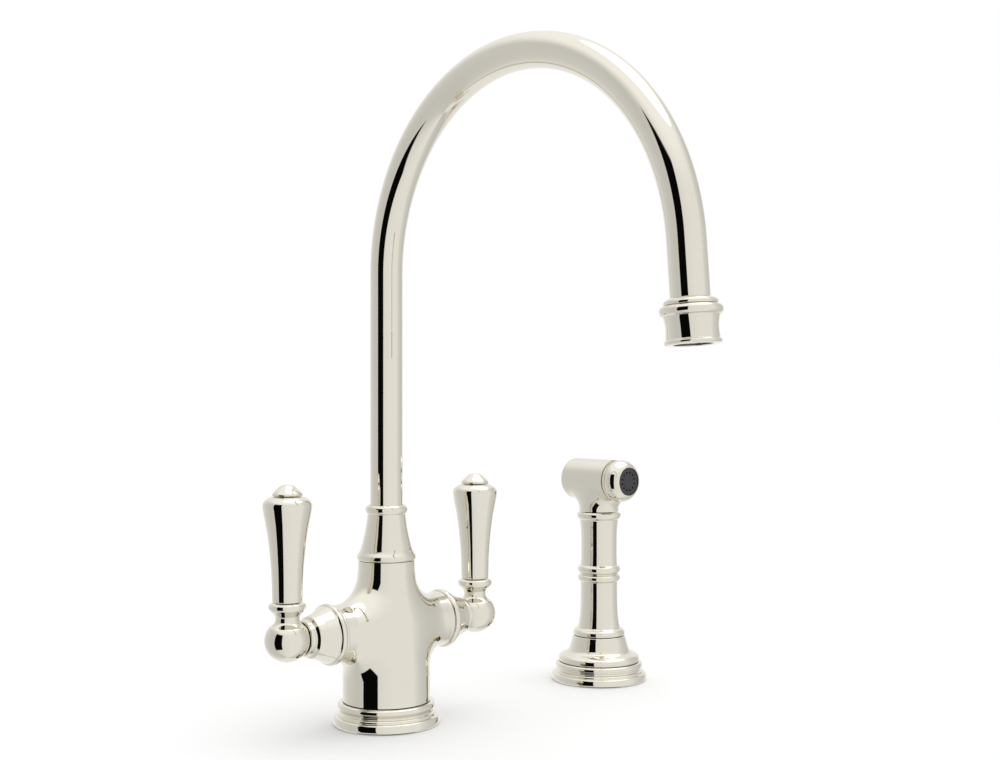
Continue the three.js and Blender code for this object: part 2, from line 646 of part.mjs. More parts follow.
/** Fixed sleeve with four windows, and the piston that slides in it, below the spout. */
function addDiverter() {
  const bottom = CHAMBER_FLOOR + FIT;
  const outer = CHAMBER_RADIUS - FIT;
  const bore = outer - DIVERTER_WALL;
  const tube = ring(bore, outer, bottom, bottom + DIVERTER_LENGTH, FACETS_SMALL);
  const windows = [0, Math.PI / 2].map((turn) => {
    const drill = ring(0, DIVERTER_WINDOW_RADIUS, -2 * outer, 2 * outer, FACETS_FINE);
    return drill.rotateY(Math.PI / 2).rotateZ(turn).translate(0, 0, ARM_HEIGHT);
  });
  addPiece(faucet, 'diverter_sleeve', carved([tube], windows), BRASS);
  const pistonRadius = bore - FIT;
  const pistonTop = bottom + DIVERTER_PISTON_HEIGHT;
  const outline = new Outline(0, bottom).to(pistonRadius, bottom).to(pistonRadius, pistonTop);
  outline.to(DIVERTER_STEM_RADIUS, pistonTop);
  outline.to(DIVERTER_STEM_RADIUS, pistonTop + DIVERTER_STEM_LENGTH);
  outline.to(0, pistonTop + DIVERTER_STEM_LENGTH);
  addPiece(faucet, 'diverter_piston', turned(outline, FACETS_SMALL), RUBBER);
}

// ---------------------------------------------------------------- valves and levers

/** The bonnet: a rounded rim, a cone and a small bead at the nose, over a hollow inside. */
function bonnet() {
  const base = BONNET_BASE;
  const end = base + BONNET_LENGTH;
  const at = (share) => base + share * BONNET_LENGTH;
  const between = (share) => THREE.MathUtils.lerp(BONNET_NOSE_RADIUS, BONNET_RIM_RADIUS, share);
  const spigotBase = base - BONNET_SPIGOT_LENGTH;
  const outline = new Outline(VALVE_BORE, spigotBase).to(BONNET_SPIGOT_RADIUS, spigotBase);
  outline.to(BONNET_SPIGOT_RADIUS, base).to(BONNET_SEAT_RADIUS, base);
  outline.to(BONNET_SEAT_RADIUS, at(0.05));
  outline.arc(between(0.86), at(0.25), 1.2, 3);
  const cone = [[between(0.64), at(0.42)], [between(0.42), at(0.58)], [between(0.22), at(0.79)]];
  outline.through(cone, 3).to(BONNET_NOSE_RADIUS, at(0.81));
  outline.to(BONNET_NOSE_RADIUS, end - SOFT_EDGE).to(BONNET_NOSE_RADIUS - SOFT_EDGE, end);
  outline.to(BONNET_MOUTH_RADIUS, end).to(BONNET_BORE, end - BONNET_MOUTH_DEPTH);
  outline.to(BONNET_BORE, end - BONNET_NOSE_THICKNESS);
  outline.to(VALVE_BORE, end - BONNET_NOSE_THICKNESS);
  return turned(outline.close(), FACETS_MEDIUM);
}

/** The cartridge: a cup round the discs with a long nose that guides the spindle. */
function cartridge() {
  const end = CARTRIDGE_END;
  const cavityEnd = CARTRIDGE_BASE + CARTRIDGE_CAVITY_LENGTH;
  const guide = SPINDLE_RADIUS + FIT + 0.1;
  const outline = new Outline(CARTRIDGE_CAVITY, CARTRIDGE_BASE);
  outline.to(VALVE_BORE - FIT, CARTRIDGE_BASE).to(VALVE_BORE - FIT, end).to(guide, end);
  outline.to(guide, cavityEnd).to(CARTRIDGE_CAVITY, cavityEnd);
  return turned(outline.close(), FACETS_MEDIUM);
}

/** A ceramic disc with as many ports as angles are given, in degrees. */
function ceramicDisc(bottom, portAngles) {
  const holes = portAngles.map((degrees) => {
    const angle = THREE.MathUtils.degToRad(degrees);
    const x = DISC_PORT_OFFSET * Math.cos(angle);
    return loop(DISC_PORT_RADIUS, FACETS_FINE, x, DISC_PORT_OFFSET * Math.sin(angle));
  });
  const rim = loop(CARTRIDGE_CAVITY - FIT - 0.1, FACETS_MEDIUM);
  return plate(rim, holes, bottom, DISC_THICKNESS);
}

/** The spindle: a foot that drives the moving disc, and a shaft out to the lever. */
function spindle() {
  const footRadius = CARTRIDGE_CAVITY - 2 * FIT;
  const footTop = CARTRIDGE_BASE + CARTRIDGE_CAVITY_LENGTH - FIT;
  const outline = new Outline(0, SPINDLE_BASE).to(footRadius, SPINDLE_BASE);
  outline.to(footRadius, footTop).to(SPINDLE_RADIUS, footTop);
  outline.to(SPINDLE_RADIUS, SPINDLE_END).to(0, SPINDLE_END);
  return turned(outline, FACETS_SMALL);
}

/** The lever's hub: ball, slim neck and collar, with a boss in towards the bonnet. */
function leverHub() {
  const outline = new Outline(0, -BALL_DROP);
  const runs = 4;
  for (let run = 1; run <= runs; run += 1) {
    const angle = (run / runs) * (Math.PI / 2);
    outline.to(BALL_RADIUS * Math.sin(angle), -BALL_DROP * Math.cos(angle));
  }
  const turnIn = THREE.MathUtils.degToRad(37);
  const ballTop = BALL_RADIUS * Math.sin(turnIn);
  outline.arc(BALL_RADIUS * Math.cos(turnIn), ballTop, BALL_RADIUS * (1 - Math.cos(turnIn / 2)));
  outline.arc(LEVER_NECK_RADIUS, LEVER_NECK_HEIGHT, -SOFT_EDGE);
  const collarFoot = HUB_HEIGHT - 5.2;
  outline.arc(LEVER_COLLAR_RADIUS - 1, collarFoot, -SOFT_EDGE);
  outline.arc(LEVER_COLLAR_RADIUS - 1, HUB_HEIGHT - 1, 1);
  outline.to(GRIP_FOOT_RADIUS, HUB_HEIGHT).to(0, HUB_HEIGHT);
  const ball = turned(outline, FACETS_MEDIUM);
  const boss = ring(0, HUB_BOSS_RADIUS, 0, HUB_BOSS_LENGTH, FACETS_MEDIUM).rotateY(-Math.PI / 2);
  const past = 2; // how far a tool runs past an open end
  const socketStart = SPINDLE_END + FIT - LEVER_REACH;
  const socketEnd = -HUB_BOSS_LENGTH - past;
  const spindleSocket = ring(0, SPINDLE_RADIUS + FIT, socketEnd, socketStart, FACETS_SMALL);
  const rodFloor = HUB_HEIGHT - LEVER_ROD_SEAT;
  const rodRadius = LEVER_ROD_RADIUS + FIT;
  const screwRadius = GRUB_SCREW_RADIUS + FIT;
  return carved([ball, boss], [
    spindleSocket.rotateY(Math.PI / 2),
    ring(0, rodRadius, rodFloor, HUB_HEIGHT + past, FACETS_FINE),
    ring(0, screwRadius, -BALL_DROP - past, 0, FACETS_FINE).translate(socketStart - 4, 0, 0),
  ]);
}

/** The grip: a slim foot that swells to a rounded shoulder, bored for the rod. */
function leverGrip() {
  const at = (share) => share * GRIP_LENGTH;
  const swell = (share) => THREE.MathUtils.lerp(GRIP_FOOT_RADIUS, GRIP_RADIUS, share);
  const bore = LEVER_ROD_RADIUS + FIT;
  const outline = new Outline(bore, 0).to(GRIP_FOOT_RADIUS - FIT, 0);
  outline.to(GRIP_FOOT_RADIUS, at(0.01));
  const rise = [[swell(0.02), at(0.2)], [swell(0.13), at(0.4)], [swell(0.5), at(0.68)]];
  outline.through([...rise, [swell(0.93), at(0.85)], [GRIP_RADIUS, at(0.905)]], 9);
  outline.arc(GRIP_TOP_RADIUS, GRIP_LENGTH, 1.6, 4);
  return turned(outline.to(bore, GRIP_LENGTH).close(), FACETS_SMALL);
}

/** The finial: a low dome with a blind socket for the rod. */
function leverFinial() {
  const bore = LEVER_ROD_RADIUS + FIT;
  const outline = new Outline(0, FINIAL_SOCKET_DEPTH).to(bore, FINIAL_SOCKET_DEPTH).to(bore, 0);
  outline.to(FINIAL_RADIUS - SOFT_EDGE, 0).to(FINIAL_RADIUS, SOFT_EDGE);
  outline.arc(0, FINIAL_HEIGHT, 1.2, 4);
  return turned(outline, FACETS_SMALL);
}

/** One arm's valve, bonnet and lever, built to the right and turned round for the left. */
function addHandle(sideName, turn) {
  const handle = addGroup(faucet, [0, 0, ARM_HEIGHT], [0, 0, turn]);
  const valve = addGroup(handle, [0, 0, 0], [0, Math.PI / 2, 0]);
  addPiece(valve, `${sideName}_bonnet`, bonnet(), NICKEL);
  addPiece(valve, `${sideName}_cartridge`, cartridge(), BRASS);
  addPiece(valve, `${sideName}_fixed_disc`, ceramicDisc(FIXED_DISC_BASE, [0, 180]), CERAMIC);
  addPiece(valve, `${sideName}_moving_disc`, ceramicDisc(MOVING_DISC_BASE, [90, 270]), CERAMIC);
  addPiece(valve, `${sideName}_spindle`, spindle(), BRASS);

  const lever = addGroup(handle, [LEVER_REACH, 0, 0]);
  addPiece(lever, `${sideName}_lever_hub`, leverHub(), NICKEL);
  const gripBase = HUB_HEIGHT + FIT;
  const finialBase = gripBase + GRIP_LENGTH + FIT;
  const grip = addPiece(lever, `${sideName}_lever_grip`, leverGrip(), NICKEL);
  grip.position.z = gripBase;
  const finial = addPiece(lever, `${sideName}_lever_finial`, leverFinial(), NICKEL);
  finial.position.z = finialBase;
  const rodBase = HUB_HEIGHT - LEVER_ROD_SEAT + FIT;
  const rodTop = finialBase + FINIAL_SOCKET_DEPTH - FIT;
  const rod = ring(0, LEVER_ROD_RADIUS, rodBase, rodTop, FACETS_FINE);
  addPiece(lever, `${sideName}_lever_rod`, rod, STEEL);
  const screwPlace = SPINDLE_END + FIT - LEVER_REACH - 4;
  const ballShare = Math.sqrt(1 - (screwPlace / BALL_RADIUS) ** 2);
  const screwBase = -BALL_DROP * ballShare + GRUB_SCREW_RECESS;
  const screw = ring(0, GRUB_SCREW_RADIUS, screwBase, -SPINDLE_RADIUS - FIT, FACETS_FINE);
  addPiece(lever, `${sideName}_grub_screw`, screw.translate(screwPlace, 0, 0), STEEL);
}

// ---------------------------------------------------------------- spout

/**
 * The spout's centreline: up the leg, round to the crown, down and straight into the nozzle.
 * The leg and the straight fall are one step each, so that the bends start and end at a section.
 */
class Gooseneck extends THREE.Curve {
  constructor() {
    super();
    this.steps = 2 * BEND_STEPS + 2;
  }

  getPoint(share, target = new THREE.Vector3()) {
    const step = share * this.steps;
    if (step <= 1) {
      return target.set(0, 0, THREE.MathUtils.lerp(TUBE_BASE, LEG_TOP, step));
    }
    if (step <= 1 + BEND_STEPS) {
      const angle = ((step - 1) / BEND_STEPS) * (Math.PI / 2);
      const forward = RISING_BEND * (1 - Math.cos(angle));
      return target.set(0, -forward, LEG_TOP + RISING_BEND * Math.sin(angle));
    }
    const turn = THREE.MathUtils.degToRad(SPOUT_TURN - 90);
    const angle = Math.min((step - 1) / BEND_STEPS - 1, 1) * turn;
    const straight = Math.max(step - 1 - 2 * BEND_STEPS, 0) * (STRAIGHT_FALL + TUBE_TAIL);
    const forward = RISING_BEND + FALLING_BEND * Math.sin(angle) + straight * Math.cos(turn);
    const drop = FALLING_BEND * (1 - Math.cos(angle)) + straight * Math.sin(turn);
    return target.set(0, -forward, LEG_TOP + RISING_BEND - drop);
  }

  /** Keeps the steps above instead of sharing them out evenly along the length. */
  getUtoTmapping(share) {
    return share;
  }

  /** Where the nozzle begins, on the straight fall. */
  nozzleStart() {
    const bendEnd = this.getPoint(1 - 1 / this.steps);
    return bendEnd.lerp(this.getPoint(1), STRAIGHT_FALL / (STRAIGHT_FALL + TUBE_TAIL));
  }
}

function spoutTube() {
  const section = new THREE.Shape(loop(TUBE_RADIUS, TUBE_SIDES));
  section.holes = [new THREE.Path(loop(TUBE_RADIUS - TUBE_WALL, TUBE_BORE_SIDES))];
  const extrudePath = new Gooseneck();
  const options = { steps: extrudePath.steps, bevelEnabled: false, extrudePath };
  return welded(new THREE.ExtrudeGeometry(section, options));
}

/** The middle height of each rubber ring on the spout's foot. */
function sealHeights() {
  return [0, 1].map((index) => FOOT_BASE + LOWEST_SEAL + index * SEAL_SPACING);
}

/** The foot that turns in the body: two seal grooves, a bearing flange and the tube's socket. */
function spoutFoot() {
  const grooveRadius = FOOT_RADIUS - SEAL_GROOVE_DEPTH;
  const outline = new Outline(FOOT_BORE, FOOT_BASE).to(FOOT_RADIUS, FOOT_BASE);
  for (const height of sealHeights()) {
    const low = height - SEAL_GROOVE_WIDTH / 2;
    const high = height + SEAL_GROOVE_WIDTH / 2;
    outline.to(FOOT_RADIUS, low).to(grooveRadius, low);
    outline.to(grooveRadius, high).to(FOOT_RADIUS, high);
  }
  outline.to(FOOT_RADIUS, FOOT_FLANGE_BASE).to(BOSS_RADIUS - FIT, FOOT_FLANGE_BASE);
  outline.to(BOSS_RADIUS - FIT, FOOT_TOP).to(TUBE_CLEARANCE, FOOT_TOP);
  const socketFloor = TUBE_BASE - FIT;
  outline.to(TUBE_CLEARANCE, socketFloor).to(FOOT_BORE, socketFloor);
  return turned(outline.close(), FACETS_MEDIUM);
}

/** The collar over the spout's foot: a rounded rim, a long hollow curve and a bead on top. */
function spoutCollar() {
  const top = COLLAR_BASE + COLLAR_HEIGHT;
  const curveBase = COLLAR_BASE + COLLAR_RIM_HEIGHT;
  const curveTop = top - COLLAR_BEAD_HEIGHT;
  const at = (share) => THREE.MathUtils.lerp(curveBase, curveTop, share);
  const footRadius = COLLAR_RIM_RADIUS - 1.7;
  const between = (share) => THREE.MathUtils.lerp(COLLAR_WAIST_RADIUS, footRadius, share);
  const outline = new Outline(COLLAR_CAVITY_RADIUS, COLLAR_BASE);
  outline.to(COLLAR_RIM_RADIUS - 1, COLLAR_BASE);
  outline.arc(footRadius, curveBase, 1.2, 3);
  const curve = [[between(0.73), at(0.17)], [between(0.4), at(0.46)], [between(0.15), at(0.75)]];
  outline.through([...curve, [COLLAR_WAIST_RADIUS, at(1)]], 6);
  outline.arc(COLLAR_BEAD_RADIUS - 0.9, top, 1.1, 3);
  outline.to(TUBE_CLEARANCE, top).to(TUBE_CLEARANCE, COLLAR_CAVITY_TOP);
  outline.to(COLLAR_CAVITY_RADIUS, COLLAR_CAVITY_TOP);
  return turned(outline.close(), FACETS_MEDIUM);
}

/** The flange brazed on the end of the tube, with the skirt that the nozzle screws onto. */
function nozzleFlange() {
  const skirtEnd = NOZZLE_FLANGE_THICKNESS + NOZZLE_SKIRT_LENGTH;
  const skirtRadius = TUBE_CLEARANCE + NOZZLE_SKIRT_WALL;
  const outline = new Outline(TUBE_CLEARANCE, 0).to(TUBE_CLEARANCE + SOFT_EDGE, 0);
  outline.arc(NOZZLE_FLANGE_RADIUS, NOZZLE_FLANGE_THICKNESS - 1.2, 1.2);
  outline.to(NOZZLE_FLANGE_RADIUS - FIT, NOZZLE_FLANGE_THICKNESS);
  outline.to(skirtRadius, NOZZLE_FLANGE_THICKNESS).to(skirtRadius, skirtEnd);
  outline.to(TUBE_CLEARANCE, skirtEnd);
  return turned(outline.close(), FACETS_MEDIUM);
}

/** The nozzle shell: a big bead, a hollow waist and a smaller bead at its mouth. */
function nozzleShell() {
  const start = NOZZLE_FLANGE_THICKNESS + FIT;
  const beadEnd = start + NOZZLE_BEAD_WIDTH;
  const lipStart = NOZZLE_LENGTH - NOZZLE_LIP_WIDTH;
  const skirtRadius = TUBE_CLEARANCE + NOZZLE_SKIRT_WALL + FIT;
  const skirtEnd = NOZZLE_FLANGE_THICKNESS + NOZZLE_SKIRT_LENGTH + FIT;
  const beadFoot = NOZZLE_BEAD_RADIUS - 1.9;
  const outline = new Outline(skirtRadius, start).to(beadFoot, start);
  outline.arc(beadFoot, beadEnd, 1.9, 4);
  outline.through([
    [NOZZLE_WAIST_RADIUS, THREE.MathUtils.lerp(beadEnd, lipStart, 0.5)],
    [NOZZLE_WAIST_RADIUS + SOFT_EDGE, lipStart],
  ], 3);
  outline.arc(NOZZLE_LIP_RADIUS - 1, NOZZLE_LENGTH, 0.9, 3);
  outline.to(AERATOR_RADIUS + FIT, NOZZLE_LENGTH).to(AERATOR_RADIUS + FIT, skirtEnd);
  outline.to(skirtRadius, skirtEnd);
  return turned(outline.close(), FACETS_MEDIUM);
}

function addNozzle(spout) {
  const start = new Gooseneck().nozzleStart();
  const nozzle = addGroup(spout, start.toArray(), [THREE.MathUtils.degToRad(SPOUT_TURN), 0, 0]);
  addPiece(nozzle, 'nozzle_flange', nozzleFlange(), NICKEL);
  addPiece(nozzle, 'nozzle_shell', nozzleShell(), NICKEL);
  const insertBase = NOZZLE_FLANGE_THICKNESS + NOZZLE_SKIRT_LENGTH + 2 * FIT;
  const insertEnd = NOZZLE_LENGTH - AERATOR_RECESS;
  const insertBore = AERATOR_RADIUS - AERATOR_WALL;
  const insert = ring(insertBore, AERATOR_RADIUS, insertBase, insertEnd, FACETS_MEDIUM);
  addPiece(nozzle, 'aerator_insert', insert, RUBBER);
  const screenBase = insertEnd - 2 * SCREEN_THICKNESS;
  const screen = ring(0, insertBore - FIT, screenBase, screenBase + SCREEN_THICKNESS, FACETS_MEDIUM);
  addPiece(nozzle, 'aerator_screen', screen, STEEL);
}

function addSpout() {
  const spout = addGroup(faucet);
  addPiece(spout, 'spout_tube', spoutTube(), NICKEL);
  addPiece(spout, 'spout_foot', spoutFoot(), BRASS);
  const sealInner = FOOT_RADIUS - SEAL_GROOVE_DEPTH + FIT;
  const sealOuter = SPOUT_SOCKET_RADIUS - FIT;
  const sealRadius = (sealInner + sealOuter) / 2;
  const sealSection = (sealOuter - sealInner) / 2;
  sealHeights().forEach((height, index) => {
    const seal = new THREE.TorusGeometry(sealRadius, sealSection, 5, FACETS_MEDIUM);
    const name = ['lower_seal_ring', 'upper_seal_ring'][index];
    addPiece(spout, name, welded(seal).translate(0, 0, height), RUBBER);
  });
  addNozzle(spout);
  addPiece(faucet, 'spout_collar', spoutCollar(), NICKEL);
  const washerBase = FOOT_TOP + FIT;
  const washerTop = washerBase + THRUST_WASHER_THICKNESS;
  const washer = ring(TUBE_CLEARANCE, BOSS_RADIUS - FIT, washerBase, washerTop, FACETS_MEDIUM);
  addPiece(faucet, 'thrust_washer', washer, NYLON);
}

// ---------------------------------------------------------------- side spray

/** The holder's bell: a rounded foot, a hollow curve up to the mouth and a skirt below. */
function holderBell() {
  const curveBase = BELL_BASE + BELL_SHOULDER_HEIGHT;
  const at = (share) => THREE.MathUtils.lerp(curveBase, BELL_TOP, share);
  const between = (share) => THREE.MathUtils.lerp(BELL_TOP_RADIUS, BELL_RADIUS, share);
  const bore = LINER_RADIUS + FIT;
  const skirtRadius = SPRAY_SHANK_HEAD_RADIUS;
  const skirtBase = SHANK_HEAD_TOP + FIT;
  const outline = new Outline(bore, skirtBase).to(skirtRadius, skirtBase);
  outline.to(skirtRadius, BELL_BASE).to(BELL_RADIUS - SOFT_EDGE, BELL_BASE);
  outline.to(BELL_RADIUS, BELL_BASE + SOFT_EDGE);
  outline.to(between(0.89), BELL_BASE + BELL_SHOULDER_HEIGHT / 2);
  outline.arc(between(0.62), curveBase, 0.8);
  const curve = [[between(0.38), at(0.25)], [between(0.19), at(0.58)], [between(0.1), at(0.86)]];
  outline.through(curve, 4);
  outline.to(BELL_TOP_RADIUS, BELL_TOP).to(bore, BELL_TOP);
  return turned(outline.close(), FACETS_LARGE);
}

/** The holder's threaded shank, with a head that clamps the moulded flange to the deck. */
function holderShank() {
  const headBase = SPRAY_FLANGE_LEDGE + FIT;
  const outline = new Outline(SPRAY_SHANK_BORE, -SPRAY_SHANK_DROP);
  outline.to(SPRAY_SHANK_RADIUS, -SPRAY_SHANK_DROP).to(SPRAY_SHANK_RADIUS, headBase);
  outline.to(SPRAY_SHANK_HEAD_RADIUS, headBase).to(SPRAY_SHANK_HEAD_RADIUS, SHANK_HEAD_TOP);
  outline.to(SPRAY_SHANK_BORE, SHANK_HEAD_TOP);
  return turned(outline.close(), FACETS_MEDIUM);
}

function addHolder(spray) {
  const flange = mouldedFlange({
    bore: SPRAY_SHANK_HEAD_RADIUS + FIT,
    ledgeBore: SPRAY_SHANK_RADIUS + FIT,
    ledge: SPRAY_FLANGE_LEDGE,
    radius: SPRAY_FLANGE_RADIUS,
    stepRadius: SPRAY_FLANGE_STEP_RADIUS,
    topRadius: BELL_RADIUS,
    height: SPRAY_FLANGE_HEIGHT,
  });
  addPiece(spray, 'spray_flange', flange, NICKEL);
  addPiece(spray, 'spray_gasket', flangeGasket(BELL_RADIUS), RUBBER);
  addPiece(spray, 'holder_shank', holderShank(), BRASS);
  addPiece(spray, 'holder_bell', holderBell(), NICKEL);
  const linerBase = SHANK_HEAD_TOP + FIT;
  const liner = ring(LINER_BORE, LINER_RADIUS, linerBase, BELL_TOP - FIT, FACETS_MEDIUM);
  addPiece(spray, 'holder_liner', liner, NYLON);
  addDeckClamp(spray, 'spray', SPRAY_SHANK_RADIUS);
}

/** The handset's stem: spigot, foot bead, slim column with a double bead, and a top bead. */
function handsetStem() {
  const base = HANDSET_BASE;
  const spigotRadius = LINER_BORE - FIT - 0.1;
  const spigotBase = BELL_TOP - HANDSET_SPIGOT_LENGTH;
  const top = base + HANDSET_STEM_LENGTH;
  const stem = HANDSET_STEM_RADIUS;
  const outline = new Outline(HANDSET_BORE, spigotBase).to(spigotRadius, spigotBase);
  outline.to(spigotRadius, base).to(HANDSET_FOOT_RADIUS - SOFT_EDGE, base);
  outline.arc(HANDSET_FOOT_RADIUS - 2 * SOFT_EDGE, base + 4.4, 0.8);
  outline.through([[stem + 1.9, base + 7], [stem + 0.7, base + 14], [stem, base + 27]], 4);
  const lowerBead = base + HANDSET_MID_BEAD_HEIGHT;
  for (const beadMiddle of [lowerBead, lowerBead + HANDSET_MID_BEAD_SPACING]) {
    outline.to(stem, beadMiddle - 3);
    outline.arc(stem, beadMiddle + 3, HANDSET_MID_BEAD_RADIUS - stem, 3);
  }
  outline.through([[stem - 0.3, top - 29], [stem + 0.6, top - 7]], 3);
  outline.arc(stem + 1, top, HANDSET_TOP_BEAD_RADIUS - stem - 1, 3);
  outline.to(HANDSET_BORE, top);
  return turned(outline.close(), FACETS_MEDIUM);
}

/** Turns geometry revolved about Z so that its height runs forward, out of the spray head. */
function facingForward(geometry) {
  return geometry.rotateX(Math.PI / 2).translate(0, 0, HEAD_AXIS);
}

/** The head: a barrel across the top of a neck that flares into it, bored for the valve. */
function handsetHead() {
  const barrel = new Outline(0, -HEAD_BACK).to(HEAD_RADIUS - HEAD_REAR_ROUND, -HEAD_BACK);
  barrel.arc(HEAD_RADIUS, 2.5 * HEAD_REAR_ROUND - HEAD_BACK, 0.9, 3).to(HEAD_RADIUS, HEAD_FRONT);
  barrel.to(0, HEAD_FRONT);
  const spigotBase = HEAD_BASE - HEAD_SPIGOT_LENGTH;
  const neck = new Outline(0, spigotBase).to(HANDSET_BORE - FIT, spigotBase);
  neck.to(HANDSET_BORE - FIT, HEAD_BASE).to(HEAD_NECK_RADIUS, HEAD_BASE);
  const flareBase = HEAD_AXIS - HEAD_RADIUS - HEAD_FILLET / 3;
  neck.to(HEAD_NECK_RADIUS, flareBase);
  neck.arc(HEAD_NECK_RADIUS + HEAD_FILLET / 3, flareBase + HEAD_FILLET, -0.6, 4);
  neck.to(HEAD_NECK_RADIUS / 2, HEAD_AXIS).to(0, HEAD_AXIS);
  const past = 2; // how far a tool runs past an open end
  const pocketFloor = -HEAD_BACK + BUTTON_POCKET_DEPTH;
  const bores = [
    ring(0, BUTTON_RADIUS + FIT + 0.1, -HEAD_BACK - past, pocketFloor, FACETS_MEDIUM),
    ring(0, VALVE_STEM_RADIUS + FIT, pocketFloor - past, HEAD_FRONT, FACETS_FINE),
    ring(0, HEAD_CHAMBER_RADIUS, -HEAD_CHAMBER_BACK, HEAD_FRONT + past, FACETS_MEDIUM),
    ring(0, 2 * HEAD_RADIUS, HEAD_FRONT, HEAD_FRONT + HEAD_RADIUS, 4), // trims the neck's flare
  ].map(facingForward);
  const waterway = HANDSET_BORE - HEAD_SPIGOT_WALL;
  bores.push(ring(0, waterway, spigotBase - past, HEAD_AXIS, FACETS_SMALL));
  const parts = [facingForward(turned(barrel, FACETS_MEDIUM)), turned(neck, FACETS_MEDIUM)];
  return carved(parts, bores);
}

/** The nozzle ring: a groove behind, a full round bulge and a seat for the face. */
function sprayRing() {
  const start = HEAD_FRONT + FIT;
  const end = start + SPRAY_RING_LENGTH;
  const threadRadius = HEAD_CHAMBER_RADIUS - FIT;
  const seatRadius = SPRAY_FACE_RADIUS + FIT;
  const seatFloor = end - SPRAY_FACE_RECESS - SPRAY_FACE_THICKNESS - FIT;
  const outline = new Outline(SPRAY_RING_BORE, start - SPRAY_RING_THREAD_LENGTH);
  outline.to(threadRadius, start - SPRAY_RING_THREAD_LENGTH).to(threadRadius, start);
  outline.to(HEAD_RADIUS - 1, start).to(HEAD_RADIUS - 1.4, start + 2.6);
  const bulge = SPRAY_RING_RADIUS - (HEAD_RADIUS + seatRadius) / 2 + 1;
  outline.arc(seatRadius + 0.8, end, bulge, 6);
  outline.to(seatRadius, end).to(seatRadius, seatFloor).to(SPRAY_RING_BORE, seatFloor);
  return turned(outline.close(), FACETS_MEDIUM);
}

/** The soft face of the spray, with its ring of small jets. */
function sprayFace() {
  const holes = [];
  for (let hole = 0; hole < SPRAY_HOLE_COUNT; hole += 1) {
    const angle = (2 * Math.PI * (hole + 0.5)) / SPRAY_HOLE_COUNT;
    const x = SPRAY_HOLE_CIRCLE * Math.cos(angle);
    holes.push(loop(SPRAY_HOLE_RADIUS, 5, x, SPRAY_HOLE_CIRCLE * Math.sin(angle)));
  }
  const end = HEAD_FRONT + FIT + SPRAY_RING_LENGTH - SPRAY_FACE_RECESS;
  const bottom = end - SPRAY_FACE_THICKNESS;
  return plate(loop(SPRAY_FACE_RADIUS, FACETS_MEDIUM), holes, bottom, SPRAY_FACE_THICKNESS);
}

/** The push button in the rear of the head: a low dome on a short barrel. */
function sprayButton() {
  const front = -HEAD_BACK - SOFT_EDGE + BUTTON_LENGTH - BUTTON_DOME;
  const outline = new Outline(0, -HEAD_BACK - BUTTON_DOME);
  outline.arc(BUTTON_RADIUS, -HEAD_BACK - SOFT_EDGE, 1.3, 4).to(BUTTON_RADIUS, front);
  outline.to(0, front);
  return turned(outline, FACETS_MEDIUM);
}

/** The plunger between button and valve: a stem, and the valve's head in the chamber. */
function valvePlunger() {
  const start = -HEAD_BACK - SOFT_EDGE + BUTTON_LENGTH - BUTTON_DOME + FIT;
  const headStart = -HEAD_CHAMBER_BACK + FIT;
  const headEnd = headStart + VALVE_HEAD_THICKNESS;
  const outline = new Outline(0, start).to(VALVE_STEM_RADIUS, start);
  outline.to(VALVE_STEM_RADIUS, headStart).to(VALVE_HEAD_RADIUS, headStart);
  outline.to(VALVE_HEAD_RADIUS, headEnd).to(0, headEnd);
  return turned(outline, FACETS_FINE);
}

/** The button's coil spring, from the pocket's floor up to the button. */
class Coil extends THREE.Curve {
  constructor(start, end) {
    super();
    this.start = start;
    this.end = end;
  }

  getPoint(share, target = new THREE.Vector3()) {
    const angle = 2 * Math.PI * SPRING_TURNS * share;
    const height = THREE.MathUtils.lerp(this.start, this.end, share);
    return target.set(SPRING_RADIUS * Math.cos(angle), SPRING_RADIUS * Math.sin(angle), height);
  }
}

function buttonSpring() {
  const margin = FIT + SPRING_WIRE;
  const start = -HEAD_BACK - SOFT_EDGE + BUTTON_LENGTH - BUTTON_DOME + margin;
  const end = -HEAD_BACK + BUTTON_POCKET_DEPTH - margin;
  const section = new THREE.Shape(loop(SPRING_WIRE, SPRING_SIDES));
  const options = {
    steps: SPRING_TURNS * SPRING_STEPS,
    bevelEnabled: false,
    extrudePath: new Coil(start, end),
  };
  return welded(new THREE.ExtrudeGeometry(section, options));
}

/** The hose's end fitting: a nut below the stem and a nipple that swivels inside it. */
function hoseConnector() {
  const nutTop = BELL_TOP - HANDSET_SPIGOT_LENGTH - FIT;
  const nutBase = nutTop - CONNECTOR_LENGTH;
  const nippleTop = nutTop + CONNECTOR_NIPPLE_LENGTH;
  const nippleRadius = HANDSET_BORE - FIT;
  const outline = new Outline(CONNECTOR_BORE, nutBase);
  outline.to(CONNECTOR_RADIUS - SOFT_EDGE, nutBase).to(CONNECTOR_RADIUS, nutBase + SOFT_EDGE);
  outline.to(CONNECTOR_RADIUS, nutTop).to(nippleRadius, nutTop).to(nippleRadius, nippleTop);
  outline.to(CONNECTOR_BORE, nippleTop);
  return turned(outline.close(), FACETS_SMALL);
}

function addHandset(spray) {
  addPiece(spray, 'hose_connector', hoseConnector(), BRASS);
  addPiece(spray, 'handset_stem', handsetStem(), NICKEL);
  addPiece(spray, 'handset_head', handsetHead(), NICKEL);
  addPiece(spray, 'spray_ring', facingForward(sprayRing()), NICKEL);
  addPiece(spray, 'spray_face', facingForward(sprayFace()), RUBBER);
  addPiece(spray, 'spray_button', facingForward(sprayButton()), NICKEL);
  addPiece(spray, 'valve_plunger', facingForward(valvePlunger()), BRASS);
  addPiece(spray, 'button_spring', facingForward(buttonSpring()), STEEL);
}

// ---------------------------------------------------------------- assembly

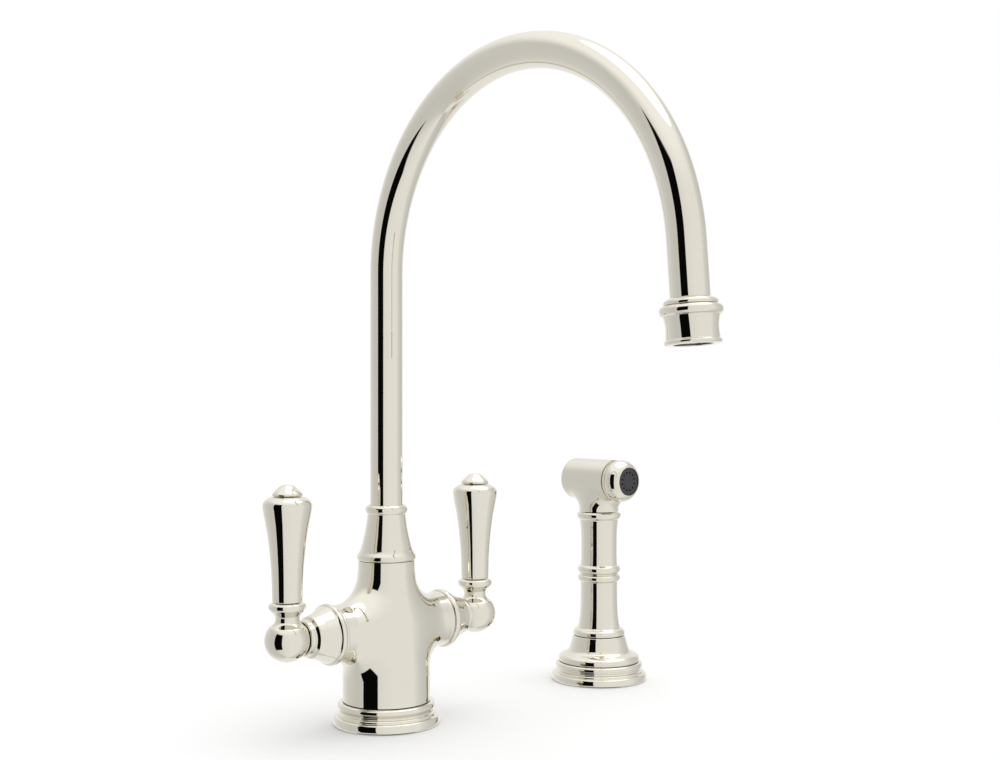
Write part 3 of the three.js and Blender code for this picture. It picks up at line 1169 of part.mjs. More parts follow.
addBody();
addDiverter();
addHandle('right', 0);
addHandle('left', Math.PI);
addSpout();
const spray = addGroup(faucet, [SPRAY_SPACING, 0, 0]);
addHolder(spray);
addHandset(spray);

export default faucet;
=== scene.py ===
"""Looks of a two-lever kitchen faucet with a gooseneck spout and a separate side spray.

Lengths in the classes are millimetres, as on a turner's drawing; meshes are made in metres.
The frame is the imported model's: +Z up, the body's axis at the origin, the deck at zero height,
+X towards the right-hand lever and the spray, and the spout reaching towards -Y.
"""

from __future__ import annotations

import logging
import math
from dataclasses import dataclass, field
from enum import Enum
from typing import Callable

import bpy
import numpy as np
from mathutils import Matrix, Vector

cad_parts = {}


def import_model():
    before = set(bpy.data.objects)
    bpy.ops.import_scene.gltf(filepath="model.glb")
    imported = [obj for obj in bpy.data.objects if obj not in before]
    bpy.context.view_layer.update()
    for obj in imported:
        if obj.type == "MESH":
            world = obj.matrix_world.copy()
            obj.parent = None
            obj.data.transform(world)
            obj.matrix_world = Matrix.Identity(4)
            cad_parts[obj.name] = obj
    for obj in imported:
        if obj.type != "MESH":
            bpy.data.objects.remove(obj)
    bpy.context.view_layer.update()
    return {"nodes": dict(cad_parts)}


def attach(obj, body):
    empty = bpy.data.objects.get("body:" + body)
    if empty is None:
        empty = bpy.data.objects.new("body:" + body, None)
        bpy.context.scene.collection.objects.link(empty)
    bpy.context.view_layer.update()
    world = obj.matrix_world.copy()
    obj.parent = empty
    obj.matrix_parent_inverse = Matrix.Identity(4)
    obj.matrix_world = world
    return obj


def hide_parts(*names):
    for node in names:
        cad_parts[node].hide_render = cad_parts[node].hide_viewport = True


LOG = logging.getLogger("faucet")
Field = Callable[[np.ndarray], np.ndarray]
Pair = tuple[float, float]
Triple = tuple[float, float, float]
Stations = tuple[Pair, ...]
Piece = bpy.types.Object
Socket = bpy.types.NodeSocket

MM = 0.001  # a millimetre in metres
ARM_HEIGHT = 64.7  # axis of both arms above the deck
SPRAY_X = 207.0  # axis of the spray, right of the body's

# Steps of a full turn, from the broadest pieces in view down to the tools.
SHOWN, SLENDER, SMALL, HIDDEN, TOOL, NARROW = 128, 112, 96, 72, 64, 48

NO_LENGTH = 1e-6  # millimetres under which a run or a radius counts as none
NO_STEP = 1e-8  # metres under which a step along an outline is left out
NO_DIVISOR = 1e-9  # keeps a division by a length from failing
NEARLY_STRAIGHT = -0.88  # cosine under which a corner needs no rounding
RUN_SHARE = 0.45  # most of a run that the rounding at one of its ends may take
SAME_CORNER = 2e-6  # metres within which two corners are merged
DRAWS = 12  # times that a melted skin is drawn towards its form
LEAST_STEEPNESS = 0.05  # keeps a draw short where the form has no clear slope
ON_FORM = 0.05  # millimetres within which a corner lies on its form
LIKE_FORM = 0.8  # cosine over which a face takes its form's own normals
NODE_EDGE = 32.0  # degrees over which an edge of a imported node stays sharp


# ------------------------------------------------------------------------ outlines


@dataclass
class Outline:
    """A turned piece's outline, as radius against height."""

    points: list[Pair]

    def to(self, radius: float, height: float) -> Outline:
        """Runs straight to a point."""
        self.points.append((radius, height))
        return self

    def arc(self, radius: float, height: float, rise: float, steps: int) -> Outline:
        """Runs to a point on a circular arc.

        Args:
            radius: Radius where the arc ends.
            height: Height where the arc ends.
            rise: How far the arc stands to the right of the straight way, outwards going up.
            steps: Straight runs that the arc is made of.

        Returns:
            This outline.
        """
        start, end = np.array(self.points[-1]), np.array((radius, height))
        middle, along = (start + end) / 2, end - start
        half_chord = float(np.linalg.norm(along)) / 2
        along = along / (2 * half_chord)
        across = np.array((along[1], -along[0]))
        half_angle = 2 * math.atan(rise / half_chord)
        arc_radius = half_chord / math.sin(half_angle)
        centre = middle - across * arc_radius * math.cos(half_angle)
        for step in range(1, steps + 1):
            angle = half_angle * (2 * step / steps - 1)
            point = centre + arc_radius * (across * math.cos(angle) + along * math.sin(angle))
            self.points.append((float(point[0]), float(point[1])))
        return self

    def through(self, knots: list[Pair], runs: int = 6) -> Outline:
        """Runs smoothly through points, leaving the last one in the direction that it came.

        Args:
            knots: Radius and height of each point to pass.
            runs: Straight runs between one point and the next.

        Returns:
            This outline.
        """
        stops = [np.array(p, float) for p in [self.points[-1], *knots]]
        stops = [2 * stops[0] - stops[1], *stops, 2 * stops[-1] - stops[-2]]
        for before, start, end, after in zip(stops, stops[1:], stops[2:], stops[3:]):
            for run in range(1, runs + 1):
                t = run / runs
                point = 0.5 * (
                    2 * start
                    + (end - before) * t
                    + (2 * before - 5 * start + 4 * end - after) * t * t
                    + (3 * start - before - 3 * end + after) * t**3
                )
                self.points.append((float(point[0]), float(point[1])))
        return self

    def close(self) -> Outline:
        """Joins the end to the start, for a ring."""
        self.points.append(self.points[0])
        return self

    def eased(self, width: float = 0.25, steps: int = 3) -> Outline:
        """Rounds every sharp corner off the axis, as polishing does.

        Args:
            width: How far from the corner the rounding starts.
            steps: Straight runs in each rounding.

        Returns:
            A new outline.
        """
        closed = self.points[0] == self.points[-1]
        stops = [np.array(p, float) for p in (self.points[:-1] if closed else self.points)]
        made: list[Pair] = []
        for index, corner in enumerate(stops):
            last = index in (0, len(stops) - 1) and not closed
            before, after = stops[index - 1], stops[(index + 1) % len(stops)]
            back, ahead = before - corner, after - corner
            sizes = float(np.linalg.norm(back)), float(np.linalg.norm(ahead))
            if last or corner[0] < NO_LENGTH or min(sizes) < NO_LENGTH:
                made.append((float(corner[0]), float(corner[1])))
                continue
            cosine = float(np.dot(back, ahead)) / (sizes[0] * sizes[1])
            if cosine < NEARLY_STRAIGHT:
                made.append((float(corner[0]), float(corner[1])))
                continue
            reach = min(width, RUN_SHARE * sizes[0], RUN_SHARE * sizes[1])
            first = corner + back * reach / sizes[0]
            second = corner + ahead * reach / sizes[1]
            for step in range(steps + 1):
                t = step / steps
                point = (1 - t) ** 2 * first + 2 * t * (1 - t) * corner + t * t * second
                made.append((float(point[0]), float(point[1])))
        if closed:
            made.append(made[0])
        return Outline(made)


# ------------------------------------------------------------------------ bench tools


class Axis(Enum):
    """Which way a turned piece's own height runs once it is in place."""

    UP = "up"
    RIGHT = "right"
    LEFT = "left"
    FORWARD = "forward"

    def matrix(self) -> Matrix:
        """The turn that carries +Z onto this direction.

        Returns:
            The turn.
        """
        turns = {
            Axis.UP: Matrix.Identity(4),
            Axis.RIGHT: Matrix.Rotation(math.radians(90), 4, "Y"),
            Axis.LEFT: Matrix.Rotation(math.radians(-90), 4, "Y"),
            Axis.FORWARD: Matrix.Rotation(math.radians(90), 4, "X"),
        }
        return turns[self]


@dataclass(frozen=True)
class Place:
    """Where a piece goes: the direction of its height and the point of its own origin."""

    axis: Axis = Axis.UP
    x: float = 0.0
    y: float = 0.0
    z: float = 0.0

    def matrix(self) -> Matrix:
        """The placing as a matrix in metres."""
        return Matrix.Translation(Vector((self.x, self.y, self.z)) * MM) @ self.axis.matrix()


class Bench:
    """The hand operations that every sub-assembly is made with."""

    @staticmethod
    def clear() -> None:
        """Deselects everything, so that the next operator acts on its own piece only."""
        if bpy.context.object is not None and bpy.context.object.mode != "OBJECT":
            bpy.ops.object.mode_set(mode="OBJECT")
        bpy.ops.object.select_all(action="DESELECT")

    @staticmethod
    def pick(*objects: Piece) -> None:
        """Selects these objects alone and makes the first one active.

        Args:
            objects: What to select.
        """
        Bench.clear()
        for item in objects:
            item.select_set(True)
        bpy.context.view_layer.objects.active = objects[0]

    @staticmethod
    def apply_place(item: Piece, matrix: Matrix) -> None:
        """Moves a mesh to its place and applies it, so that its object sits at the origin.

        Args:
            item: The mesh's object.
            matrix: The move, in metres.
        """
        Bench.pick(item)
        item.matrix_world = matrix @ item.matrix_world
        bpy.ops.object.transform_apply(location=True, rotation=True, scale=True)

    @staticmethod
    def settled(name: str) -> Piece:
        """Names the object that was just added and applies its place.

        Args:
            name: Name of the object and of its mesh.

        Returns:
            The object.
        """
        item = bpy.context.object
        item.name = item.data.name = name
        bpy.ops.object.transform_apply(location=True, rotation=True, scale=True)
        return item

    @staticmethod
    def single_corner(name: str, radius: float, height: float) -> Piece:
        """Adds a plane and melts it down to the one corner that an outline starts from.

        Args:
            name: Name of the object.
            radius: How far the corner is from the axis.
            height: How high it lies.

        Returns:
            The object, in edit mode with its corner selected.
        """
        Bench.clear()
        bpy.ops.mesh.primitive_plane_add(size=MM, location=(radius * MM, 0, height * MM))
        item = Bench.settled(name)
        bpy.ops.object.mode_set(mode="EDIT")
        bpy.ops.mesh.select_all(action="SELECT")
        bpy.ops.mesh.merge(type="CENTER")
        return item

    @staticmethod
    def turned(name: str, outline: Outline, sides: int, place: Place = Place()) -> Piece:
        """Draws an outline by extruding a corner along it, and spins it round its axis.

        Args:
            name: The piece's name.
            outline: The outline, which starts and ends on the axis or closes on itself.
            sides: Steps of the full turn.
            place: Where the piece goes.

        Returns:
            The finished object, at its place.
        """
        first = outline.points[0]
        item = Bench.single_corner(name, *first)
        here = first
        for point in outline.points[1:]:
            step = Vector((point[0] - here[0], 0, point[1] - here[1])) * MM
            if step.length < NO_STEP:
                continue
            bpy.ops.mesh.extrude_region_move(TRANSFORM_OT_translate={"value": step})
            here = point
        bpy.ops.mesh.select_all(action="SELECT")
        bpy.ops.mesh.spin(steps=sides, angle=2 * math.pi, center=(0, 0, 0), axis=(0, 0, 1))
        Bench.close_up()
        bpy.ops.object.mode_set(mode="OBJECT")
        Bench.apply_place(item, place.matrix())
        return item

    @staticmethod
    def close_up() -> None:
        """Merges doubles in edit mode and turns every face outwards."""
        bpy.ops.mesh.select_all(action="SELECT")
        bpy.ops.mesh.remove_doubles(threshold=SAME_CORNER)
        bpy.ops.mesh.normals_make_consistent(inside=False)

    @staticmethod
    def combined(item: Piece, tool: Piece, operation: str) -> Piece:
        """Joins or cuts one mesh with another by a boolean modifier, which is applied.

        Args:
            item: The mesh that is kept.
            tool: The mesh that is used up.
            operation: UNION, DIFFERENCE or INTERSECT.

        Returns:
            The kept object.
        """
        Bench.pick(item)
        modifier = item.modifiers.new("cut", "BOOLEAN")
        modifier.operation = operation
        modifier.solver = "EXACT"
        modifier.object = tool
        bpy.ops.object.modifier_apply(modifier=modifier.name)
        bpy.data.objects.remove(tool)
        return item

    @staticmethod
    def joined(items: list[Piece], name: str) -> Piece:
        """Joins several meshes into one object of that name.

        Args:
            items: The meshes, of which the first is kept.
            name: Name of the result.

        Returns:
            The joined object.
        """
        Bench.pick(*items)
        if len(items) > 1:
            bpy.ops.object.join()
        item = bpy.context.object
        item.name = item.data.name = name
        return item

    @staticmethod
    def polished(item: Piece, angle: float = 28.0) -> Piece:
        """Shades a mesh smooth but for its sharp edges, with faces weighing in by their size.

        Args:
            item: The piece.
            angle: Degrees over which an edge stays sharp.

        Returns:
            The same piece.
        """
        Bench.pick(item)
        bpy.ops.object.shade_smooth_by_angle(angle=math.radians(angle))
        modifier = item.modifiers.new("weights", "WEIGHTED_NORMAL")
        modifier.keep_sharp = True
        bpy.ops.object.modifier_apply(modifier=modifier.name)
        return item

    @staticmethod
    def melted(blanks: list[Piece], name: str, shape: Field, grain: float) -> Piece:
        """Melts rough blanks into one skin and draws it down onto a smoothly blended form.

        Args:
            blanks: Closed meshes that overlap where the form is blended.
            name: The piece's name.
            shape: Signed distance of points, in millimetres, from the form.
            grain: Size of the skin's faces, in millimetres.

        Returns:
            One closed mesh on the form.
        """
        item = Bench.joined(blanks, name)
        item.data.remesh_voxel_size = grain * MM
        item.data.use_remesh_fix_poles = False
        bpy.ops.object.voxel_remesh()
        points = Bench.corners(item)
        for _ in range(DRAWS):
            slope = Bench.slope(shape, points)
            steep = np.maximum(np.einsum("ij,ij->i", slope, slope), LEAST_STEEPNESS)
            step = -(shape(points) / steep)[:, None] * slope
            size = np.linalg.norm(step, axis=1, keepdims=True)
            points += step * np.minimum(1, grain / np.maximum(size, NO_DIVISOR))
        item.data.vertices.foreach_set("co", (points * MM).astype(np.float32).ravel())
        item.data.update()
        return item

    @staticmethod
    def corners(item: Piece) -> np.ndarray:
        """The corners of a mesh in millimetres, one row each.

        Args:
            item: The mesh's object.

        Returns:
            The corners.
        """
        flat = np.zeros(3 * len(item.data.vertices), np.float32)
        item.data.vertices.foreach_get("co", flat)
        return flat.reshape(-1, 3).astype(float) / MM

    @staticmethod
    def slope(shape: Field, points: np.ndarray, step: float = 0.01) -> np.ndarray:
        """How a signed distance changes along X, Y and Z at each point.

        Args:
            shape: The signed distance.
            points: Where it is asked for, one row each.
            step: How far to both sides it is looked at.

        Returns:
            One row of three slopes for each point.
        """
        parts = []
        for axis in range(3):
            shift = np.zeros(3)
            shift[axis] = step
            parts.append((shape(points + shift) - shape(points - shift)) / (2 * step))
        return np.stack(parts, axis=1)

    @staticmethod
    def sliced(item: Piece, point: Vector, outward: Vector) -> None:
        """Cuts off what lies beyond a plane and closes the cut with a face.

        Args:
            item: The mesh that is cut.
            point: A point of the plane, in millimetres.
            outward: The side that is cut off.
        """
        Bench.pick(item)
        bpy.ops.object.mode_set(mode="EDIT")
        bpy.ops.mesh.select_all(action="SELECT")
        bpy.ops.mesh.bisect(plane_co=point * MM, plane_no=outward, use_fill=True, clear_outer=True)
        bpy.ops.object.mode_set(mode="OBJECT")

    @staticmethod
    def true_normals(item: Piece, shape: Field) -> None:
        """Gives the blended skin the form's own normals, and leaves cut faces flat.

        Args:
            item: The skin.
            shape: The form's signed distance.
        """
        mesh = item.data
        Bench.pick(item)
        bpy.ops.object.shade_smooth()
        slope = Bench.slope(shape, Bench.corners(item))
        slope /= np.maximum(np.linalg.norm(slope, axis=1, keepdims=True), NO_DIVISOR)
        on_form = np.abs(shape(Bench.corners(item))) < ON_FORM
        corner_of_loop = np.zeros(len(mesh.loops), np.int32)
        mesh.loops.foreach_get("vertex_index", corner_of_loop)
        face_normals = np.zeros(3 * len(mesh.polygons), np.float32)
        mesh.polygons.foreach_get("normal", face_normals)
        sizes = np.zeros(len(mesh.polygons), np.int32)
        mesh.polygons.foreach_get("loop_total", sizes)
        flat = np.repeat(face_normals.reshape(-1, 3), sizes, axis=0)
        smooth = slope[corner_of_loop]
        agree = np.einsum("ij,ij->i", flat, smooth) > LIKE_FORM
        use = agree & on_form[corner_of_loop]
        normals = np.where(use[:, None], smooth, flat)
        mesh.normals_split_custom_set(normals.tolist())


def smooth_step(share: np.ndarray) -> np.ndarray:
    """Holds shares between zero and one and eases them at both ends."""
    share = np.clip(share, 0, 1)
    return share * share * (3 - 2 * share)


def round_union(first: np.ndarray, second: np.ndarray, fillet: np.ndarray) -> np.ndarray:
    """Joins two forms with a circular fillet between them.

    Args:
        first: Signed distances from the first form.
        second: Signed distances from the second form.
        fillet: Radius of the fillet at each point.

    Returns:
        Signed distances from the joined form.
    """
    near = np.maximum(fillet - first, 0)
    other = np.maximum(fillet - second, 0)
    return np.maximum(fillet, np.minimum(first, second)) - np.hypot(near, other)


# ------------------------------------------------------------------------ finishes


class Board:
    """A small helper that places and links the nodes of one tree."""

    def __init__(self, tree: bpy.types.NodeTree) -> None:
        """Starts on a tree as it is."""
        self.tree = tree

    def add(self, kind: str, **settings: object) -> bpy.types.Node:
        """Adds a node and sets its inputs or properties by name.

        Args:
            kind: The node's type.
            settings: Inputs, with underscores for spaces, or properties.

        Returns:
            The new node.
        """
        node = self.tree.nodes.new(kind)
        for key, value in settings.items():
            label = key.replace("_", " ")
            if label in node.inputs:
                node.inputs[label].default_value = value
            else:
                setattr(node, key, value)
        return node

    def link(self, start: Socket, end: Socket) -> None:
        """Links an output to an input."""
        self.tree.links.new(start, end)


class NodeBoard(Board):
    """The board of one material."""

    def __init__(self, name: str, metal: bool = False) -> None:
        """Starts a new material that holds only its output and its shader.

        Args:
            name: The material's name.
            metal: Whether the shader is a metal's.
        """
        self.material = bpy.data.materials.new(name)
        self.material.use_nodes = True
        super().__init__(self.material.node_tree)
        self.shader = self.tree.nodes["Principled BSDF"]
        if metal:
            self.shader.inputs["Metallic"].default_value = 1.0

    def coordinates(self, stretch: Triple = (1, 1, 1)) -> Socket:
        """Object coordinates, stretched by a mapping.

        Args:
            stretch: Scale along each axis.

        Returns:
            The socket that gives it.
        """
        source = self.add("ShaderNodeTexCoord")
        mapping = self.add("ShaderNodeMapping", Scale=stretch)
        self.link(source.outputs["Object"], mapping.inputs["Vector"])
        return mapping.outputs["Vector"]

    def noise(self, scale: float, detail: float, stretch: Triple = (1, 1, 1)) -> Socket:
        """A noise pattern between zero and one on object coordinates.

        Args:
            scale: How fine the pattern is.
            detail: Layers of ever finer noise.
            stretch: Scale of the coordinates along each axis.

        Returns:
            The socket that gives it.
        """
        node = self.add("ShaderNodeTexNoise", Scale=scale, Detail=detail, Roughness=0.55)
        self.link(self.coordinates(stretch), node.inputs["Vector"])
        return node.outputs["Fac"]

    def spread(self, value: Socket, low: float, high: float) -> Socket:
        """Maps a pattern's middle range onto low to high.

        Args:
            value: The pattern.
            low: What its darker part becomes.
            high: What its brighter part becomes.

        Returns:
            The socket that gives it.
        """
        node = self.add("ShaderNodeMapRange", From_Min=0.3, From_Max=0.7, To_Min=low, To_Max=high)
        self.link(value, node.inputs["Value"])
        return node.outputs["Result"]

    def haze(self, value: Socket, low: float, high: float) -> None:
        """Lets a pattern choose the roughness between low and high."""
        self.link(self.spread(value, low, high), self.shader.inputs["Roughness"])

    def tint(self, value: Socket, low: Triple, high: Triple) -> None:
        """Lets a pattern choose between two base colours.

        Args:
            value: The pattern.
            low: Colour of its darker part.
            high: Colour of its brighter part.
        """
        node = self.add("ShaderNodeMix", data_type="RGBA")
        node.inputs[6].default_value = (*low, 1)
        node.inputs[7].default_value = (*high, 1)
        self.link(value, node.inputs[0])
        self.link(node.outputs[2], self.shader.inputs["Base Color"])

    def relief(self, value: Socket, strength: float, depth: float) -> None:
        """Raises the surface by a pattern; further calls add to the ones before.

        Args:
            value: The pattern.
            strength: Share of the bump that is used.
            depth: Height of the pattern, in millimetres.
        """
        node = self.add("ShaderNodeBump", Strength=strength, Distance=depth * MM)
        self.link(value, node.inputs["Height"])
        held = self.shader.inputs["Normal"].links
        if held:
            self.link(held[0].from_socket, node.inputs["Normal"])
        self.link(node.outputs["Normal"], self.shader.inputs["Normal"])


@dataclass(frozen=True)
class PolishedNickel:
    """Buffed nickel plate: a warm silver mirror with faint clouding and polishing marks."""

    slot: str = "nickel"
    bright: Triple = (0.765, 0.735, 0.650)
    dull: Triple = (0.745, 0.713, 0.625)
    roughness: Pair = (0.028, 0.055)

    def material(self) -> bpy.types.Material:
        """Builds the nickel's nodes.

        Returns:
            The material.
        """
        board = NodeBoard("polished_nickel", metal=True)
        board.tint(board.noise(38, 4), self.dull, self.bright)
        board.haze(board.noise(120, 6), *self.roughness)
        board.relief(board.noise(55, 2), 0.10, 0.02)
        board.relief(board.noise(900, 3, (1, 1, 0.12)), 0.04, 0.004)
        return board.material


@dataclass(frozen=True)
class MachinedBrass:
    """Turned brass with fine rings from the tool and a slight tarnish."""

    slot: str = "brass"
    bright: Triple = (0.66, 0.51, 0.26)
    tarnished: Triple = (0.46, 0.34, 0.16)
    roughness: Pair = (0.24, 0.42)

    def material(self) -> bpy.types.Material:
        """Builds the brass's nodes.

        Returns:
            The material.
        """
        board = NodeBoard("machined_brass", metal=True)
        board.tint(board.noise(60, 5), self.tarnished, self.bright)
        board.haze(board.noise(300, 4), *self.roughness)
        board.relief(board.noise(1500, 2, (0.05, 0.05, 1)), 0.25, 0.02)
        return board.material


@dataclass(frozen=True)
class StainlessSteel:
    """Plain stainless steel with a fine brushed grain."""

    slot: str = "steel"
    bright: Triple = (0.60, 0.60, 0.61)
    dull: Triple = (0.48, 0.48, 0.49)
    roughness: Pair = (0.26, 0.40)

    def material(self) -> bpy.types.Material:
        """Builds the steel's nodes.

        Returns:
            The material.
        """
        board = NodeBoard("stainless_steel", metal=True)
        grain = board.noise(700, 5, (1, 0.06, 1))
        board.tint(grain, self.dull, self.bright)
        board.haze(grain, *self.roughness)
        board.relief(grain, 0.2, 0.02)
        return board.material


@dataclass(frozen=True)
class MouldedSkin:
    """A moulded rubber, nylon or plastic: one colour with cloudy variation and a fine grain."""

    slot: str
    name: str
    light: Triple
    dark: Triple
    roughness: Pair
    grain: float

    def material(self) -> bpy.types.Material:
        """Builds the moulded skin's nodes.

        Returns:
            The material.
        """
        board = NodeBoard(self.name)
        board.tint(board.noise(90, 4), self.dark, self.light)
        board.haze(board.noise(400, 4), *self.roughness)
        board.relief(board.noise(1800, 3), 0.3, self.grain)
        return board.material


@dataclass(frozen=True)
class WovenWire:
    """Fine stainless wire cloth, as in an aerator's screen."""

    slot: str = "steel"
    pitch: float = 0.7

    def material(self) -> bpy.types.Material:
        """Builds the wire cloth: two crossed sets of round wires; the colour runs from bright on
        the wires' crowns to near-black in the gaps, painted shade of the openings on a solid disc.

        Returns:
            The material.
        """
        board = NodeBoard("woven_wire", metal=True)
        board.shader.inputs["Roughness"].default_value = 0.35
        height = None
        for axis in ("X", "Y"):
            wave = board.add("ShaderNodeTexWave", bands_direction=axis)
            wave.inputs["Scale"].default_value = 1 / (20 * self.pitch * MM)
            board.link(board.coordinates(), wave.inputs["Vector"])
            if height is None:
                height = wave.outputs["Fac"]
            else:
                crossed = board.add("ShaderNodeMath", operation="MAXIMUM")
                board.link(height, crossed.inputs[0])
                board.link(wave.outputs["Fac"], crossed.inputs[1])
                height = crossed.outputs[0]
        # Painted shade: the colour darkens down each wire's sides to near-black in the gaps,
        # standing for shaded openings, as the screen itself is a solid disc.
        board.tint(board.spread(height, 0.0, 1.0), (0.03, 0.03, 0.03), (0.62, 0.62, 0.63))
        board.relief(height, 0.8, 0.25)
        return board.material


class Finish(Enum):
    """The finishes of the faucet's pieces."""

    NICKEL = PolishedNickel()
    BRASS = MachinedBrass()
    STEEL = StainlessSteel()
    WIRE = WovenWire()
    RUBBER = MouldedSkin(
        "rubber", "black_rubber", light=(0.040, 0.040, 0.042), dark=(0.028, 0.028, 0.030),
        roughness=(0.55, 0.72), grain=0.02,
    )
    SPRAY_RUBBER = MouldedSkin(
        "spray_rubber", "grey_rubber", light=(0.034, 0.034, 0.038), dark=(0.026, 0.026, 0.030),
        roughness=(0.45, 0.6), grain=0.02,
    )
    NYLON = MouldedSkin(
        "nylon", "natural_nylon", light=(0.78, 0.77, 0.72), dark=(0.70, 0.69, 0.64),
        roughness=(0.38, 0.52), grain=0.02,
    )
    CERAMIC = MouldedSkin(
        "ceramic", "lapped_ceramic", light=(0.87, 0.86, 0.82), dark=(0.80, 0.79, 0.75),
        roughness=(0.08, 0.16), grain=0.004,
    )
    BLACK_PLASTIC = MouldedSkin(
        "black_plastic", "black_plastic", light=(0.035, 0.035, 0.036),
        dark=(0.022, 0.022, 0.023), roughness=(0.3, 0.45), grain=0.01,
    )


class Finisher:
    """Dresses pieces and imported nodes, and keeps one material of each finish."""

    def __init__(self, nodes: dict[str, Piece]) -> None:
        """Starts with no material made.

        Args:
            nodes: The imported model's nodes by name.
        """
        self.nodes = nodes
        self.made: dict[Finish, bpy.types.Material] = {}

    def material(self, finish: Finish) -> bpy.types.Material:
        """The material of a finish, made when it is first asked for.

        Args:
            finish: Which finish.

        Returns:
            Its material.
        """
        if finish not in self.made:
            self.made[finish] = finish.value.material()
        return self.made[finish]

    def coat(self, item: Piece, finish: Finish) -> None:
        """Gives an object one finish all over."""
        item.data.materials.clear()
        item.data.materials.append(self.material(finish))

    def hand_over(self, item: Piece, body: str, finish: Finish, *stands_for: str) -> None:
        """Coats a finished piece, sets it on its body and hides the nodes that it stands for.

        Args:
            item: The finished piece.
            body: The moving body that it rides on.
            finish: Its finish.
            stands_for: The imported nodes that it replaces.
        """
        self.coat(item, finish)
        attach(item, body)
        if stands_for:
            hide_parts(*stands_for)
        LOG.info("%s: %d faces, on %s", item.name, len(item.data.polygons), body)

    def polish_over(self, item: Piece, body: str, finish: Finish, *stands_for: str) -> None:
        """Polishes a turned piece and hands it over in the same way."""
        self.hand_over(Bench.polished(item), body, finish, *stands_for)

    def dress_nodes(self, finish: Finish, *names: str) -> None:
        """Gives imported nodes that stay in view, or inside, their finish.

        Args:
            finish: The finish of all of them.
            names: The nodes.
        """
        for name in names:
            item = self.nodes[name]
            self.coat(item, finish)
            Bench.pick(item)
            bpy.ops.object.shade_smooth_by_angle(angle=math.radians(NODE_EDGE))
            LOG.info("%s: packed node, %s", name, finish.name)


# ------------------------------------------------------------------------ sub-assemblies


@dataclass
class MouldedFoot:
    """A moulded flange on the deck: a wide ring, a fine step and a bead on top."""

    name: str
    bore: float
    radius: float
    lower_top: float
    step: float
    neck: float
    bead: float
    height: float
    gasket: float
    x: float = 0.0
    recess: float = 1.8
    rim_width: float = 6.6

    def build(self, finisher: Finisher) -> None:
        """Makes the flange and sets it on the deck.

        Args:
            finisher: Coats the pieces and hands them over.
        """
        wide, top, step = self.radius, self.lower_top, self.step
        neck, bead, high = self.neck, self.bead, self.height
        inside, deep = self.gasket - self.rim_width, self.recess
        outline = Outline([(self.bore, 0)]).to(inside, 0).to(inside, deep).to(self.gasket, deep)
        outline.to(self.gasket, 0).to(wide - 1.2, 0)
        outline.through([(wide - 0.3, 0.8), (wide, 2.0)], 5)
        outline.to(wide, top - 2.6)
        outline.through([(wide - 0.25, top - 1.3), (wide - 0.9, top - 0.4), (wide - 1.9, top)], 6)
        outline.to(step + 0.1, top + 0.12)
        outline.through([(step, top + 0.35), (step - 0.05, top + 0.9)], 4)
        outline.through([(step - 0.45, top + 1.55), (step - 1.1, top + 1.95)], 5)
        outline.through([(neck, top + 2.4), (neck - 0.05, top + 3.1), (neck + 0.2, top + 3.8)], 6)
        outline.through([
            (bead - 0.65, top + 4.7), (bead - 0.1, high - 3.4), (bead, high - 2.6),
            (bead - 0.2, high - 1.5), (bead - 0.85, high - 0.6), (bead - 1.9, high - 0.1),
        ], 6)
        outline.to(self.bore, high)
        outline = outline.close().eased()
        piece = Bench.turned(f"{self.name}_polished", outline, SHOWN, Place(x=self.x))
        finisher.polish_over(piece, "root", Finish.NICKEL, self.name)


